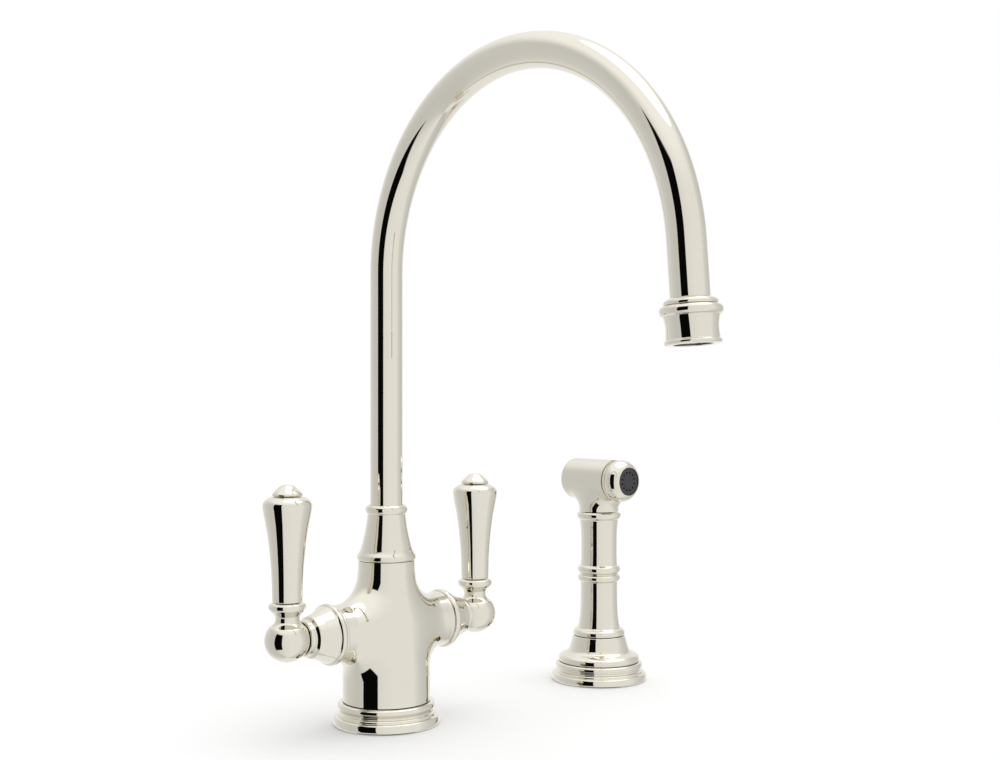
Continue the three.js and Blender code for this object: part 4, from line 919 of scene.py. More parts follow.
@dataclass
class DeckFixings:
    """Threaded shank, washers and hexagonal nut under the deck."""

    prefix: str
    shank_node: str
    shank_radius: float
    shank_bore: float
    shank_drop: float
    shank_head: Stations
    washer_radius: float
    nut_radius: float
    x: float = 0.0
    thread_pitch: float = 1.5
    thread_depth: float = 0.75
    thread_top: float = -2.0
    rubber_washer: Pair = (-33.0, 3.0)
    steel_washer: Pair = (-35.3, 2.0)
    back_nut: Pair = (-44.6, 9.0)
    nut_chamfer: float = 1.6

    def shank(self) -> Piece:
        """The shank: a chamfered foot, rounded thread ridges and a head with its own steps.

        Returns:
            The piece, at its place.
        """
        outline = Outline([(self.shank_bore, -self.shank_drop)])
        outline.to(self.shank_radius - 1, -self.shank_drop)
        root, ridge = self.shank_radius - self.thread_depth, -self.shank_drop + 1.0
        while ridge + self.thread_pitch < self.thread_top:
            outline.to(root, ridge)
            outline.to(self.shank_radius, ridge + 0.4 * self.thread_pitch)
            outline.to(self.shank_radius, ridge + 0.6 * self.thread_pitch)
            ridge += self.thread_pitch
        outline.to(root, ridge).to(self.shank_radius, self.thread_top + 1)
        for radius, height in self.shank_head:
            outline.to(radius, height)
        name = f"{self.shank_node}_threaded"
        return Bench.turned(name, outline.close(), HIDDEN, Place(x=self.x))

    def nut(self, base: float, height: float) -> Piece:
        """A hexagonal nut: a six-sided bar cut to a turned chamfer and bored.

        Args:
            base: Height of its underside.
            height: How thick it is.

        Returns:
            The polished nut, at its place.
        """
        Bench.clear()
        bpy.ops.mesh.primitive_cylinder_add(
            vertices=6,
            radius=self.nut_radius * MM,
            depth=height * MM,
            location=(0, 0, (base + height / 2) * MM),
            rotation=(0, 0, math.radians(30)),
        )
        item = Bench.settled(f"{self.prefix}_back_nut_dressed")
        top, cut = base + height, self.nut_chamfer
        flat, round_bar = self.nut_radius * math.cos(math.pi / 6), self.nut_radius + 0.2
        chamfer = Outline([(0, base)]).to(flat, base).to(round_bar, base + cut)
        chamfer.to(round_bar, base + height - cut).to(flat, top).to(0, top)
        Bench.combined(item, Bench.turned("chamfer", chamfer, HIDDEN), "INTERSECT")
        hole = self.shank_radius + 0.2
        bore = Outline([(0, base - 1)]).to(hole, base - 1).to(hole, top + 1).to(0, top + 1)
        Bench.combined(item, Bench.turned("bore", bore, HIDDEN), "DIFFERENCE")
        Bench.apply_place(item, Place(x=self.x).matrix())
        return Bench.polished(item, 20)

    def washer(self, name: str, base: float, thickness: float) -> Piece:
        """A flat washer with softened rims.

        Args:
            name: Name of the node that it stands for.
            base: Height of its underside.
            thickness: How thick it is.

        Returns:
            The piece, at its place.
        """
        bore = self.shank_radius + 0.3
        outline = Outline([(bore, base)]).to(self.washer_radius, base)
        outline.to(self.washer_radius, base + thickness).to(bore, base + thickness)
        outline = outline.close().eased(0.5)
        return Bench.turned(f"{name}_dressed", outline, SMALL, Place(x=self.x))

    def build(self, finisher: Finisher) -> None:
        """Makes the shank, the washers and the nut.

        Args:
            finisher: Coats the pieces and hands them over.
        """
        finisher.polish_over(self.shank(), "root", Finish.BRASS, self.shank_node)
        for kind, size, finish in (
            ("rubber_washer", self.rubber_washer, Finish.RUBBER),
            ("steel_washer", self.steel_washer, Finish.STEEL),
        ):
            node = f"{self.prefix}_{kind}"
            finisher.polish_over(self.washer(node, *size), "root", finish, node)
        nut = self.nut(*self.back_nut)
        finisher.hand_over(nut, "root", Finish.BRASS, f"{self.prefix}_back_nut")


@dataclass
class MixerBody:
    """The cast body: a column, a neck and two arms, blended into one another."""

    base: float = 15.5
    top: float = 109.3
    arm_radius: float = 18.7
    arm_cut: float = 43.6
    arm_end: float = 45.2
    upper_fillet: float = 15.5
    lower_fillet: float = 15.0
    fillet_widens: Pair = (-12.0, 14.0)
    socket_radius: float = 16.1
    blank_spare: float = 6.0
    grain: float = 0.95
    column: Stations = (
        (0.0, 29.5), (17.5, 29.5), (32.0, 29.45), (46.0, 28.4), (ARM_HEIGHT, 26.0),
        (82.0, 22.8), (93.0, 20.6), (100.0, 19.6), (109.3, 19.1), (125.0, 18.9),
    )
    fixings: DeckFixings = field(
        default_factory=lambda: DeckFixings(
            "body", "mounting_shank", shank_radius=16.0, shank_bore=12.5, shank_drop=56.0,
            shank_head=((16, 16), (12.5, 16)), washer_radius=28.0, nut_radius=26.5,
        )
    )

    def column_radius(self, heights: np.ndarray) -> np.ndarray:
        """Radius of the column at each height, on a smooth curve through the drawing's stations.

        Args:
            heights: Heights above the deck.

        Returns:
            The radii.
        """
        z, r = (np.array(v, float) for v in zip(*self.column))
        slopes = np.gradient(r, z)
        slopes[:3] = 0
        index = np.clip(np.searchsorted(z, heights) - 1, 0, len(z) - 2)
        width = z[index + 1] - z[index]
        t = np.clip((heights - z[index]) / width, 0, 1)
        return (
            (2 * t**3 - 3 * t**2 + 1) * r[index]
            + (t**3 - 2 * t**2 + t) * width * slopes[index]
            + (3 * t**2 - 2 * t**3) * r[index + 1]
            + (t**3 - t**2) * width * slopes[index + 1]
        )

    def form(self, points: np.ndarray) -> np.ndarray:
        """Signed distance from the blended body, whose fillet widens towards the top.

        Args:
            points: Points in millimetres, one row each.

        Returns:
            The signed distances.
        """
        x, y, z = points.T
        column = np.hypot(x, y) - self.column_radius(z)
        above = z - ARM_HEIGHT
        arms = np.hypot(y, above) - self.arm_radius
        start, end = self.fillet_widens
        share = smooth_step((above - start) / (end - start))
        fillet = self.lower_fillet + (self.upper_fillet - self.lower_fillet) * share
        return round_union(column, arms, fillet)

    def casting(self) -> Piece:
        """Melts a column blank and an arm blank together, trims and bores the result.

        Returns:
            The casting, with its form's own normals.
        """
        low, high = self.base - self.blank_spare, self.top + self.blank_spare
        column = Outline([(0, low)])
        for height in np.linspace(low, high, 24):
            column.to(float(self.column_radius(np.array([height]))[0]), float(height))
        end = self.arm_cut + self.blank_spare
        arm = Outline([(0, -end)]).to(self.arm_radius, -end).to(self.arm_radius, end).to(0, end)
        blanks = [
            Bench.turned("column_blank", column.to(0, high), TOOL),
            Bench.turned("arm_blank", arm, TOOL, Place(Axis.RIGHT, z=ARM_HEIGHT)),
        ]
        item = Bench.melted(blanks, "body_casting_polished", self.form, self.grain)
        Bench.sliced(item, Vector((0, 0, self.base)), Vector((0, 0, -1)))
        Bench.sliced(item, Vector((0, 0, self.top)), Vector((0, 0, 1)))
        for side in (-1, 1):
            Bench.sliced(item, Vector((side * self.arm_cut, 0, 0)), Vector((side, 0, 0)))
        for tool in self.bores():
            Bench.combined(item, tool, "DIFFERENCE")
        Bench.true_normals(item, self.form)
        return item

    def bores(self) -> list[Piece]:
        """The tools that bore the spout's socket, the shank's socket and the valve seats.

        Returns:
            The tools.
        """
        socket = Outline([(0, 48)]).to(9, 48).to(9, 84).to(13, 84).to(13, 120).to(0, 120)
        shank = Outline([(0, 0)]).to(16.4, 0).to(16.4, 24.3).to(0, 24.3)
        seat = Outline([(0, 26)]).to(12.3, 26).to(12.3, 37.6).to(self.socket_radius, 37.6)
        seat.to(self.socket_radius, 60).to(0, 60)
        return [
            Bench.turned("socket_tool", socket, TOOL),
            Bench.turned("shank_tool", shank, TOOL),
            Bench.turned("valve_tool", seat, TOOL, Place(Axis.LEFT, z=ARM_HEIGHT)),
            Bench.turned("valve_tool", seat, TOOL, Place(Axis.RIGHT, z=ARM_HEIGHT)),
        ]

    def arm_ring(self, side: str, axis: Axis) -> Piece:
        """The turned end of an arm, where the bonnet's rim meets it.

        Args:
            side: Name of the arm's side.
            axis: Which way the arm points.

        Returns:
            The piece, at its place.
        """
        reach, radius, socket = self.arm_end, self.arm_radius, self.socket_radius
        outline = Outline([(socket, self.arm_cut)]).to(radius, self.arm_cut)
        outline.through([(radius + 0.12, reach - 0.9), (radius + 0.1, reach - 0.4)], 4)
        outline.to(radius - 0.15, reach).to(socket, reach).close()
        return Bench.turned(f"{side}_arm_end", outline, SHOWN, Place(axis, z=ARM_HEIGHT))

    def build(self, finisher: Finisher) -> None:
        """Makes the casting, the ends of its arms and the fixings, and dresses what is inside.

        Args:
            finisher: Coats the pieces and hands them over.
        """
        finisher.hand_over(self.casting(), "root", Finish.NICKEL, "body_casting")
        for side, axis in (("left", Axis.LEFT), ("right", Axis.RIGHT)):
            finisher.polish_over(self.arm_ring(side, axis), "root", Finish.NICKEL)
        self.fixings.build(finisher)
        tails = ("hot_inlet", "cold_inlet", "spray_outlet")
        finisher.dress_nodes(Finish.BRASS, *tails, "diverter_sleeve")
        finisher.dress_nodes(Finish.RUBBER, "base_gasket", "diverter_piston")


@dataclass
class Handle:
    """One arm's bonnet, valve and lever."""

    side: str
    axis: Axis
    reach: float = 79.3
    bonnet_base: float = 43.8
    bonnet_end: float = 68.3
    ball_radius: float = 14.7
    ball_drop: float = 13.5
    neck_radius: float = 7.65
    collar_radius: float = 12.1
    grip_base: float = 24.9
    grip_length: float = 67.0
    finial_height: float = 7.2
    boss_radius: float = 8.4
    boss_ends: Pair = (60.0, 76.0)
    neck_starts: float = 36.0

    @property
    def body(self) -> str:
        """The moving body that the lever's pieces ride on."""
        return f"{self.side}_lever"

    @property
    def lever_place(self) -> Place:
        """Where the lever's own axis crosses the axis of the arm."""
        sign = 1 if self.axis is Axis.RIGHT else -1
        return Place(x=sign * self.reach, z=ARM_HEIGHT)

    @property
    def arm_place(self) -> Place:
        """The axis of the arm, from the body outwards."""
        return Place(self.axis, z=ARM_HEIGHT)

    def bonnet(self) -> Piece:
        """The bonnet: a full rounded rim, a hollow cone, and a groove and a bead at the nose.

        Returns:
            The piece, at its place.
        """
        base, end = self.bonnet_base, self.bonnet_end
        outline = Outline([(12.2, base - 5.8)]).to(15.7, base - 5.8).to(15.7, base + 1.55)
        outline.to(18.6, base + 1.55)
        outline.through([
            (19.25, base + 1.95), (19.85, base + 2.7), (20.15, base + 3.7), (20.0, base + 4.9),
            (19.5, base + 5.7),
        ], 6)
        outline.to(18.95, base + 6.0)
        outline.through([(18.2, base + 6.9), (16.8, base + 10.1), (15.0, base + 14.2)], 6)
        outline.through([(13.8, base + 17.8), (13.5, base + 19.0)], 5)
        outline.to(11.75, base + 20.1).to(11.4, base + 20.6).to(11.4, base + 21.3)
        outline.to(11.65, base + 21.7).to(11.6, end - 0.6).to(11.0, end)
        outline.to(10.3, end).to(8.9, end - 2.6).to(8.9, end - 11).to(12.2, end - 11)
        outline = outline.close().eased(0.2)
        return Bench.turned(f"{self.side}_bonnet_polished", outline, SHOWN, self.arm_place)

    def hub(self) -> Piece:
        """The hub: a ball, a slim neck and a collar, with its boss towards the bonnet.

        Returns:
            The piece, at its place.
        """
        ball, drop = self.ball_radius, self.ball_drop
        outline = Outline([(0, -drop)])
        for step in range(1, 19):
            angle = step / 18 * math.pi / 2
            outline.to(ball * math.sin(angle), -drop * math.cos(angle))
        for step in range(1, 9):
            angle = step / 8 * math.radians(self.neck_starts)
            outline.to(ball * math.cos(angle), ball * math.sin(angle))
        outline.through([
            (9.4, 10.6), (8.0, 12.3), (self.neck_radius, 14.0), (8.0, 15.8), (9.3, 17.6),
            (10.6, 18.9),
        ], 6)
        outline.through([(11.8, 20.4), (self.collar_radius, 22.0), (11.5, 23.6), (10.0, 24.5)], 6)
        outline.to(0, 24.6)
        hub = Bench.turned(f"{self.side}_lever_hub_polished", outline, SLENDER, self.lever_place)
        thick, (near, far) = self.boss_radius, self.boss_ends
        boss = Outline([(0, near)]).to(thick, near).to(thick, far).to(0, far).eased(0.3)
        return Bench.combined(hub, Bench.turned("boss", boss, SMALL, self.arm_place), "UNION")

    def grip(self) -> Piece:
        """The grip: a slim foot that swells to a rounded shoulder.

        Returns:
            The piece, at its place.
        """
        base, length = self.grip_base, self.grip_length
        outline = Outline([(3.3, base)]).to(9.35, base)
        outline.through([(9.7, base + 0.7)], 3)
        outline.through([
            (9.95, base + 10.5), (10.3, base + 19), (10.95, base + 27), (11.85, base + 36),
            (13.25, base + 45.8), (14.7, base + 53.2), (15.55, base + 58),
            (15.85, base + 60.6), (15.5, base + 62.8), (14.3, base + 64.6), (12.2, base + 66),
            (9.9, base + length),
        ], 5)
        outline.to(3.3, base + length)
        outline = outline.close().eased(0.2)
        return Bench.turned(f"{self.side}_lever_grip_polished", outline, SLENDER, self.lever_place)

    def finial(self) -> Piece:
        """The finial: a low dome on a crisp rim.

        Returns:
            The piece, at its place.
        """
        base = self.grip_base + self.grip_length + 0.3
        outline = Outline([(0, base + 4)]).to(3.3, base + 4).to(3.3, base).to(9.3, base)
        outline.through([
            (9.9, base + 0.7), (9.35, base + 1.9), (8.0, base + 3.3), (6.4, base + 4.6),
            (5.2, base + 5.7), (3.4, base + 6.8), (1.4, base + 7.15),
            (0, base + self.finial_height),
        ], 5)
        outline = outline.eased(0.2)
        return Bench.turned(f"{self.side}_lever_finial_polished", outline, SMALL, self.lever_place)

    def build(self, finisher: Finisher) -> None:
        """Makes this side's bonnet and lever, and dresses its valve, rod and screw.

        Args:
            finisher: Coats the pieces and hands them over.
        """
        finisher.polish_over(self.bonnet(), "root", Finish.NICKEL, f"{self.side}_bonnet")
        for name, make in (("hub", self.hub), ("grip", self.grip), ("finial", self.finial)):
            node = f"{self.side}_lever_{name}"
            finisher.polish_over(make(), self.body, Finish.NICKEL, node)
        for finish, names in (
            (Finish.BRASS, ("cartridge", "spindle")),
            (Finish.CERAMIC, ("fixed_disc", "moving_disc")),
            (Finish.STEEL, ("lever_rod", "grub_screw")),
        ):
            finisher.dress_nodes(finish, *(f"{self.side}_{name}" for name in names))


@dataclass
class Spout:
    """The gooseneck with its collar, its foot and its nozzle."""

    tube_radius: float = 11.0
    tube_wall: float = 1.2
    tube_base: float = 104.6
    leg_top: float = 301.3
    rising_bend: float = 127.5
    falling_bend: float = 134.8
    turn: float = 175.2
    fall: float = 30.0
    tail: float = 8.0
    bend_steps: int = 60
    collar_base: float = 109.6
    collar_top: float = 146.5

    def tube(self) -> Piece:
        """Extrudes a circle up the leg and spins it round both bends.

        Returns:
            The tube.
        """
        Bench.clear()
        bpy.ops.mesh.primitive_circle_add(
            vertices=SMALL, radius=self.tube_radius * MM, location=(0, 0, self.tube_base * MM)
        )
        item = Bench.settled("spout_tube_polished")
        bpy.ops.object.mode_set(mode="EDIT")
        bpy.ops.mesh.select_all(action="SELECT")
        rise = Vector((0, 0, self.leg_top - self.tube_base)) * MM
        bpy.ops.mesh.extrude_region_move(TRANSFORM_OT_translate={"value": rise})
        first = Vector((0, -self.rising_bend, self.leg_top)) * MM
        bends = {"steps": self.bend_steps, "axis": (-1, 0, 0)}
        bpy.ops.mesh.spin(angle=math.pi / 2, center=first, **bends)
        crown = self.leg_top + self.rising_bend
        second = Vector((0, -self.rising_bend, crown - self.falling_bend)) * MM
        fall = math.radians(self.turn - 90)
        bpy.ops.mesh.spin(angle=fall, center=second, **bends)
        way = Vector((0, -math.cos(fall), -math.sin(fall))) * (self.fall + self.tail) * MM
        bpy.ops.mesh.extrude_region_move(TRANSFORM_OT_translate={"value": way})
        Bench.close_up()
        bpy.ops.object.mode_set(mode="OBJECT")
        wall = item.modifiers.new("wall", "SOLIDIFY")
        wall.thickness = self.tube_wall * MM
        wall.offset = -1
        wall.use_quality_normals = True
        bpy.ops.object.modifier_apply(modifier=wall.name)
        return item

    def collar(self) -> Piece:
        """The collar: a rounded rim, a long hollow curve and a bead on top.

        Returns:
            The piece, at its place.
        """
        base, top = self.collar_base, self.collar_top
        outline = Outline([(15.1, base)]).to(19.1, base)
        outline.through([(19.75, base + 0.8), (19.95, base + 2.1), (19.6, base + 3.5)], 5)
        outline.through([(18.9, base + 4.6), (18.25, base + 5.6)], 4)
        outline.through([
            (17.5, base + 7.4), (16.75, base + 9.9), (15.6, base + 14.4), (14.5, base + 19.4),
            (13.6, base + 25.0), (12.95, base + 29.7),
        ], 6)
        outline.to(12.9, base + 30.6).to(13.0, base + 31.0)
        outline.arc(13.0, top - 0.3, 1.25, 14)
        outline.to(12.6, top).to(11.3, top).to(11.3, base + 9.3).to(15.1, base + 9.3)
        return Bench.turned("spout_collar_polished", outline.close().eased(0.2), SHOWN)

    def nozzle_place(self) -> Matrix:
        """Where the nozzle starts on the end of the tube, and the way it points.

        Returns:
            The placing, in metres.
        """
        fall = math.radians(self.turn - 90)
        forward = self.rising_bend + self.falling_bend * math.sin(fall) + self.fall * math.cos(fall)
        drop = self.falling_bend * (1 - math.cos(fall)) + self.fall * math.sin(fall)
        start = Vector((0, -forward, self.leg_top + self.rising_bend - drop)) * MM
        return Matrix.Translation(start) @ Matrix.Rotation(math.radians(self.turn), 4, "X")

    def nozzle_outlines(self) -> dict[str, Outline]:
        """The outlines of flange, shell, insert and screen, from the tube's end downwards.

        Returns:
            The outlines by the name of the node that each piece stands for.
        """
        flange = Outline([(11.3, 1)]).to(11.7, 1)
        flange.through([(13.2, 1.7), (14.5, 2.7), (14.95, 3.7), (14.7, 4.7)], 5)
        flange.to(14.5, 4.9).to(12.9, 4.9).to(12.9, 11.7).to(11.3, 11.7)
        shell = Outline([(13.2, 5.2)]).to(15.5, 5.2)
        shell.through([(16.6, 5.9), (17.3, 7.0), (17.4, 7.9), (17.2, 9.1), (16.4, 10.2)], 5)
        shell.to(15.5, 10.75)
        shell.through([(14.95, 12.4), (14.45, 15.8), (14.45, 19.5), (14.75, 22.8), (15.0, 23.6)], 6)
        shell.arc(14.75, 26, 0.85, 12)
        shell.to(14.2, 26.2).to(11.3, 26.2).to(10.9, 25.9).to(10.9, 24.2).to(12.3, 24.1)
        shell.to(12.3, 12).to(13.2, 12)
        insert = Outline([(10.1, 12.3)]).to(12, 12.3).to(12, 24.0).to(10.1, 24.0)
        screen = Outline([(0, 22)]).to(9.8, 22).to(9.8, 23.4).to(0, 23.4)
        return {
            "nozzle_flange": flange.close(),
            "nozzle_shell": shell.close(),
            "aerator_insert": insert.close(),
            "aerator_screen": screen,
        }

    def build(self, finisher: Finisher) -> None:
        """Makes the tube, the collar and the nozzle, and dresses the foot and its seals.

        Args:
            finisher: Coats the pieces and hands them over.
        """
        tube = Bench.polished(self.tube(), 40)
        finisher.hand_over(tube, "spout", Finish.NICKEL, "spout_tube")
        finisher.polish_over(self.collar(), "root", Finish.NICKEL, "spout_collar")
        finishes = {"aerator_insert": Finish.BLACK_PLASTIC, "aerator_screen": Finish.WIRE}
        for node, outline in self.nozzle_outlines().items():
            piece = Bench.turned(f"{node}_dressed", outline.eased(0.2), SHOWN)
            Bench.apply_place(piece, self.nozzle_place())
            finisher.polish_over(piece, "spout", finishes.get(node, Finish.NICKEL), node)
        finisher.dress_nodes(Finish.BRASS, "spout_foot")
        finisher.dress_nodes(Finish.RUBBER, "lower_seal_ring", "upper_seal_ring")
        finisher.dress_nodes(Finish.NYLON, "thrust_washer")


@dataclass
class SprayHolder:
    """The bell-shaped holder that the handset stands in."""

    base: float = 14.2
    top: float = 33.7
    bore: float = 15.6
    fixings: DeckFixings = field(
        default_factory=lambda: DeckFixings(
            "spray", "holder_shank", shank_radius=13.5, shank_bore=10.2, shank_drop=48.0,
            shank_head=((13.5, 3.3), (17.2, 3.3), (17.2, 6.3), (10.2, 6.3)),
            washer_radius=25.5, nut_radius=23.6, x=SPRAY_X,
        )
    )

    def bell(self) -> Piece:
        """The bell: a rounded foot under a hollow curve up to the mouth.

        Returns:
            The piece, at its place.
        """
        outline = Outline([(self.bore, 6.6)]).to(17.2, 6.6).to(17.2, self.base)
        outline.to(30.8, self.base)
        outline.through([(31.1, 15.2), (31.05, 16.8), (30.5, 18.1), (29.2, 19.3), (27.2, 20.3)], 5)
        outline.through([
            (25.4, 21.1), (24.0, 22.2), (23.1, 23.6), (22.4, 25.4), (21.8, 27.4), (21.2, 29.6),
            (20.7, 31.7), (20.1, 33.3),
        ], 6)
        outline.to(19.6, self.top).to(self.bore, self.top)
        outline = outline.close().eased(0.2)
        return Bench.turned("holder_bell_polished", outline, SHOWN, Place(x=SPRAY_X))

    def liner(self) -> Piece:
        """The nylon liner that guides the handset's spigot, flared at its mouth.

        Returns:
            The piece, at its place.
        """
        outline = Outline([(13.5, 6.6)]).to(15.3, 6.6).to(15.3, 33.4).to(14.4, 33.4)
        outline.through([(13.8, 33.0), (13.5, 32.0)], 4)
        outline = outline.close().eased(0.3)
        return Bench.turned("holder_liner_dressed", outline, SMALL, Place(x=SPRAY_X))

    def build(self, finisher: Finisher) -> None:
        """Makes the bell, the liner and the fixings, and dresses the gasket.

        Args:
            finisher: Coats the pieces and hands them over.
        """
        finisher.polish_over(self.bell(), "root", Finish.NICKEL, "holder_bell")
        finisher.polish_over(self.liner(), "root", Finish.NYLON, "holder_liner")
        self.fixings.build(finisher)
        finisher.dress_nodes(Finish.RUBBER, "spray_gasket")


@dataclass
class SprayHandset:
    """The handset: stem, head, nozzle ring, face and button."""

    stem_base: float = 34.0
    stem_top: float = 129.0
    bore: float = 8.0
    head_axis: float = 153.5
    head_radius: float = 16.0
    head_back: float = 28.0
    head_front: float = 16.5
    neck_radius: float = 15.3
    fillet: float = 9.0
    least_fillet: float = 0.01
    fillet_depth: float = 8.0
    fillet_unlike: float = 0.48
    ring_length: float = 6.5
    ring_bore: float = 12.9
    blank_spare: Pair = (5.0, 6.0)
    jet_count: int = 12
    jet_circle: float = 6.75
    jet_radius: float = 0.85
    jet_depth: float = 7.0
    jet_height: float = 30.9
    grain: float = 0.75

    @property
    def head_place(self) -> Place:
        """The head's own axis, which runs forward."""
        return Place(Axis.FORWARD, x=SPRAY_X, z=self.head_axis)

    def stem(self) -> Piece:
        """The stem with its foot bead, its pair of beads and its top bead.

        Returns:
            The piece, at its place.
        """
        base = self.stem_base
        outline = Outline([(self.bore, 11.7)]).to(13.1, 11.7).to(13.1, base).to(19.3, base)
        outline.through([(19.95, base + 0.9), (20.0, base + 2.1), (19.5, base + 3.5)], 5)
        outline.to(18.7, base + 4.5)
        outline.through(
            [(17.2, base + 5.2), (16.3, base + 6.2), (15.8, base + 8.2), (15.2, base + 12.0)], 6
        )
        outline.through([(14.8, base + 16), (14.45, base + 22), (14.3, base + 30)], 6)
        outline.through([(14.3, base + 38), (14.35, base + 41.2)], 4)
        outline.arc(14.6, base + 46.8, 2.0, 14)
        outline.to(14.55, base + 47.5)
        outline.arc(14.3, base + 53.9, 2.05, 14)
        outline.through([
            (14.05, base + 56.5), (13.9, base + 62), (13.9, base + 70), (14.1, base + 79),
            (14.5, base + 85), (15.0, base + 88.6),
        ], 6)
        outline.to(15.4, base + 89.3)
        outline.arc(15.6, self.stem_top - 0.2, 1.6, 14)
        outline = outline.to(self.bore, self.stem_top).close().eased(0.2)
        return Bench.turned("handset_stem_polished", outline, SHOWN, Place(x=SPRAY_X))

    def head_form(self, points: np.ndarray) -> np.ndarray:
        """Signed distance from the barrel blended with the neck under it.

        The fillet fades out towards the axis and where both forms face the same way.

        Args:
            points: Points in millimetres, one row each.

        Returns:
            The signed distances.
        """
        x, y, z = points.T
        across, above = x - SPRAY_X, z - self.head_axis
        round_barrel, round_neck = np.hypot(across, above), np.hypot(across, y)
        alike = across**2 / np.maximum(round_barrel * round_neck, NO_LENGTH)
        unlike = np.clip((1 - alike) / self.fillet_unlike, 0, 1)
        share = smooth_step(-above / self.fillet_depth) * np.sqrt(unlike)
        barrel = round_barrel - self.head_radius
        neck = np.maximum(round_neck - self.neck_radius, above)
        return round_union(barrel, neck, self.fillet * share + self.least_fillet)

    def head(self) -> Piece:
        """Melts a barrel blank and a neck blank, trims the ends and bores them.

        Returns:
            The head, with its form's own normals.
        """
        behind, before = self.blank_spare
        back, front, thick = -self.head_back - behind, self.head_front + before, self.head_radius
        barrel = Outline([(0, back)]).to(thick, back).to(thick, front).to(0, front)
        low, high = self.stem_top - behind, self.head_axis
        neck = Outline([(0, low)]).to(self.neck_radius, low).to(self.neck_radius, high).to(0, high)
        blanks = [
            Bench.turned("barrel_blank", barrel, TOOL, self.head_place),
            Bench.turned("neck_blank", neck, TOOL, Place(x=SPRAY_X)),
        ]
        item = Bench.melted(blanks, "handset_head_polished", self.head_form, self.grain)
        Bench.sliced(item, Vector((0, 0, self.stem_top + 0.3)), Vector((0, 0, -1)))
        Bench.sliced(item, Vector((0, -self.head_front, 0)), Vector((0, -1, 0)))
        rear = self.head_back - self.ring_length
        Bench.sliced(item, Vector((0, rear, 0)), Vector((0, 1, 0)))
        bore = Outline([(0, -40)]).to(self.ring_bore, -40).to(self.ring_bore, -12)
        bore.to(2.3, -12).to(2.3, -6).to(12, -6).to(12, 30).to(0, 30)
        way = Outline([(0, 110)]).to(6, 110).to(6, self.head_axis).to(0, self.head_axis)
        tool = Bench.turned("bore", bore, TOOL, self.head_place)
        Bench.combined(item, tool, "DIFFERENCE")
        tool = Bench.turned("waterway", way, NARROW, Place(x=SPRAY_X))
        Bench.combined(item, tool, "DIFFERENCE")
        Bench.true_normals(item, self.head_form)
        return item

    def rear_ring(self) -> Piece:
        """The turned rear end of the barrel, rounded over towards the button.

        Returns:
            The piece, at its place.
        """
        radius, back, bore = self.head_radius, -self.head_back, self.ring_bore
        outline = Outline([(bore, back)]).to(bore + 0.1, back)
        outline.through([(13.7, back + 0.35), (14.8, back + 1.2), (15.6, back + 2.5)], 5)
        outline.through([(15.92, back + 3.6), (radius, back + 4.6)], 4)
        outline.to(radius, back + self.ring_length).to(bore, back + self.ring_length)
        outline = outline.close().eased(0.15)
        return Bench.turned("handset_rear_ring", outline, SHOWN, self.head_place)

    def nozzle_ring(self) -> Piece:
        """The nozzle ring: a groove behind a full round bulge, with a seat for the face.

        Returns:
            The piece, at its place.
        """
        outline = Outline([(8.5, 4.3)]).to(11.7, 4.3).to(11.7, 16.8).to(14.7, 16.8)
        outline.through([(14.55, 18.0), (14.7, 19.4)], 4)
        outline.to(14.9, 19.7)
        outline.through([
            (15.6, 20.7), (16.0, 22.2), (16.05, 24.0), (15.7, 25.9), (14.8, 27.9),
            (13.5, 29.7), (12.2, 30.9), (11.3, 31.4),
        ], 6)
        outline.to(10.75, 31.5).to(10.75, 28.8).to(8.5, 28.8)
        outline = outline.close().eased(0.15)
        return Bench.turned("spray_ring_polished", outline, SHOWN, self.head_place)

    def face(self) -> Piece:
        """The soft face with its ring of jets round a raised middle.

        Returns:
            The piece, at its place.
        """
        outline = Outline([(0, 29.1)]).to(10.4, 29.1).to(10.4, 30.8)
        outline.through([(10.0, 31.05), (9.4, 31.1)], 3)
        outline.to(8.9, 30.75).to(4.7, 30.7)
        outline.through([(4.3, 30.95), (3.6, 31.05), (0, 31.1)], 4)
        item = Bench.turned("spray_face_moulded", outline.eased(0.15), SMALL)
        drills = []
        for jet in range(self.jet_count):
            angle = 2 * math.pi * (jet + 0.5) / self.jet_count
            Bench.clear()
            across, along = self.jet_circle * math.cos(angle), self.jet_circle * math.sin(angle)
            bpy.ops.mesh.primitive_cylinder_add(
                vertices=16,
                radius=self.jet_radius * MM,
                depth=self.jet_depth * MM,
                location=(across * MM, along * MM, self.jet_height * MM),
            )
            drills.append(bpy.context.object)
        tool = Bench.joined(drills, "drills")
        bpy.ops.object.transform_apply(location=True, rotation=True, scale=True)
        Bench.combined(item, tool, "DIFFERENCE")
        Bench.apply_place(item, self.head_place.matrix())
        return item

    def button(self) -> Piece:
        """The push button in the rear of the head: a low dome with a recess for the spring.

        Returns:
            The piece, at its place.
        """
        outline = Outline([(0, -30.4)])
        outline.through([(4.0, -30.2), (8.0, -29.5), (10.9, -28.6), (12.1, -28.0)], 6)
        outline.through([(12.4, -27.4)], 4)
        outline.to(12.4, -21.1).to(8.3, -21.1).to(8.3, -25.4).to(5.7, -25.4).to(5.7, -21.1)
        outline = outline.to(0, -21.1).eased(0.2)
        return Bench.turned("spray_button_polished", outline, SLENDER, self.head_place)

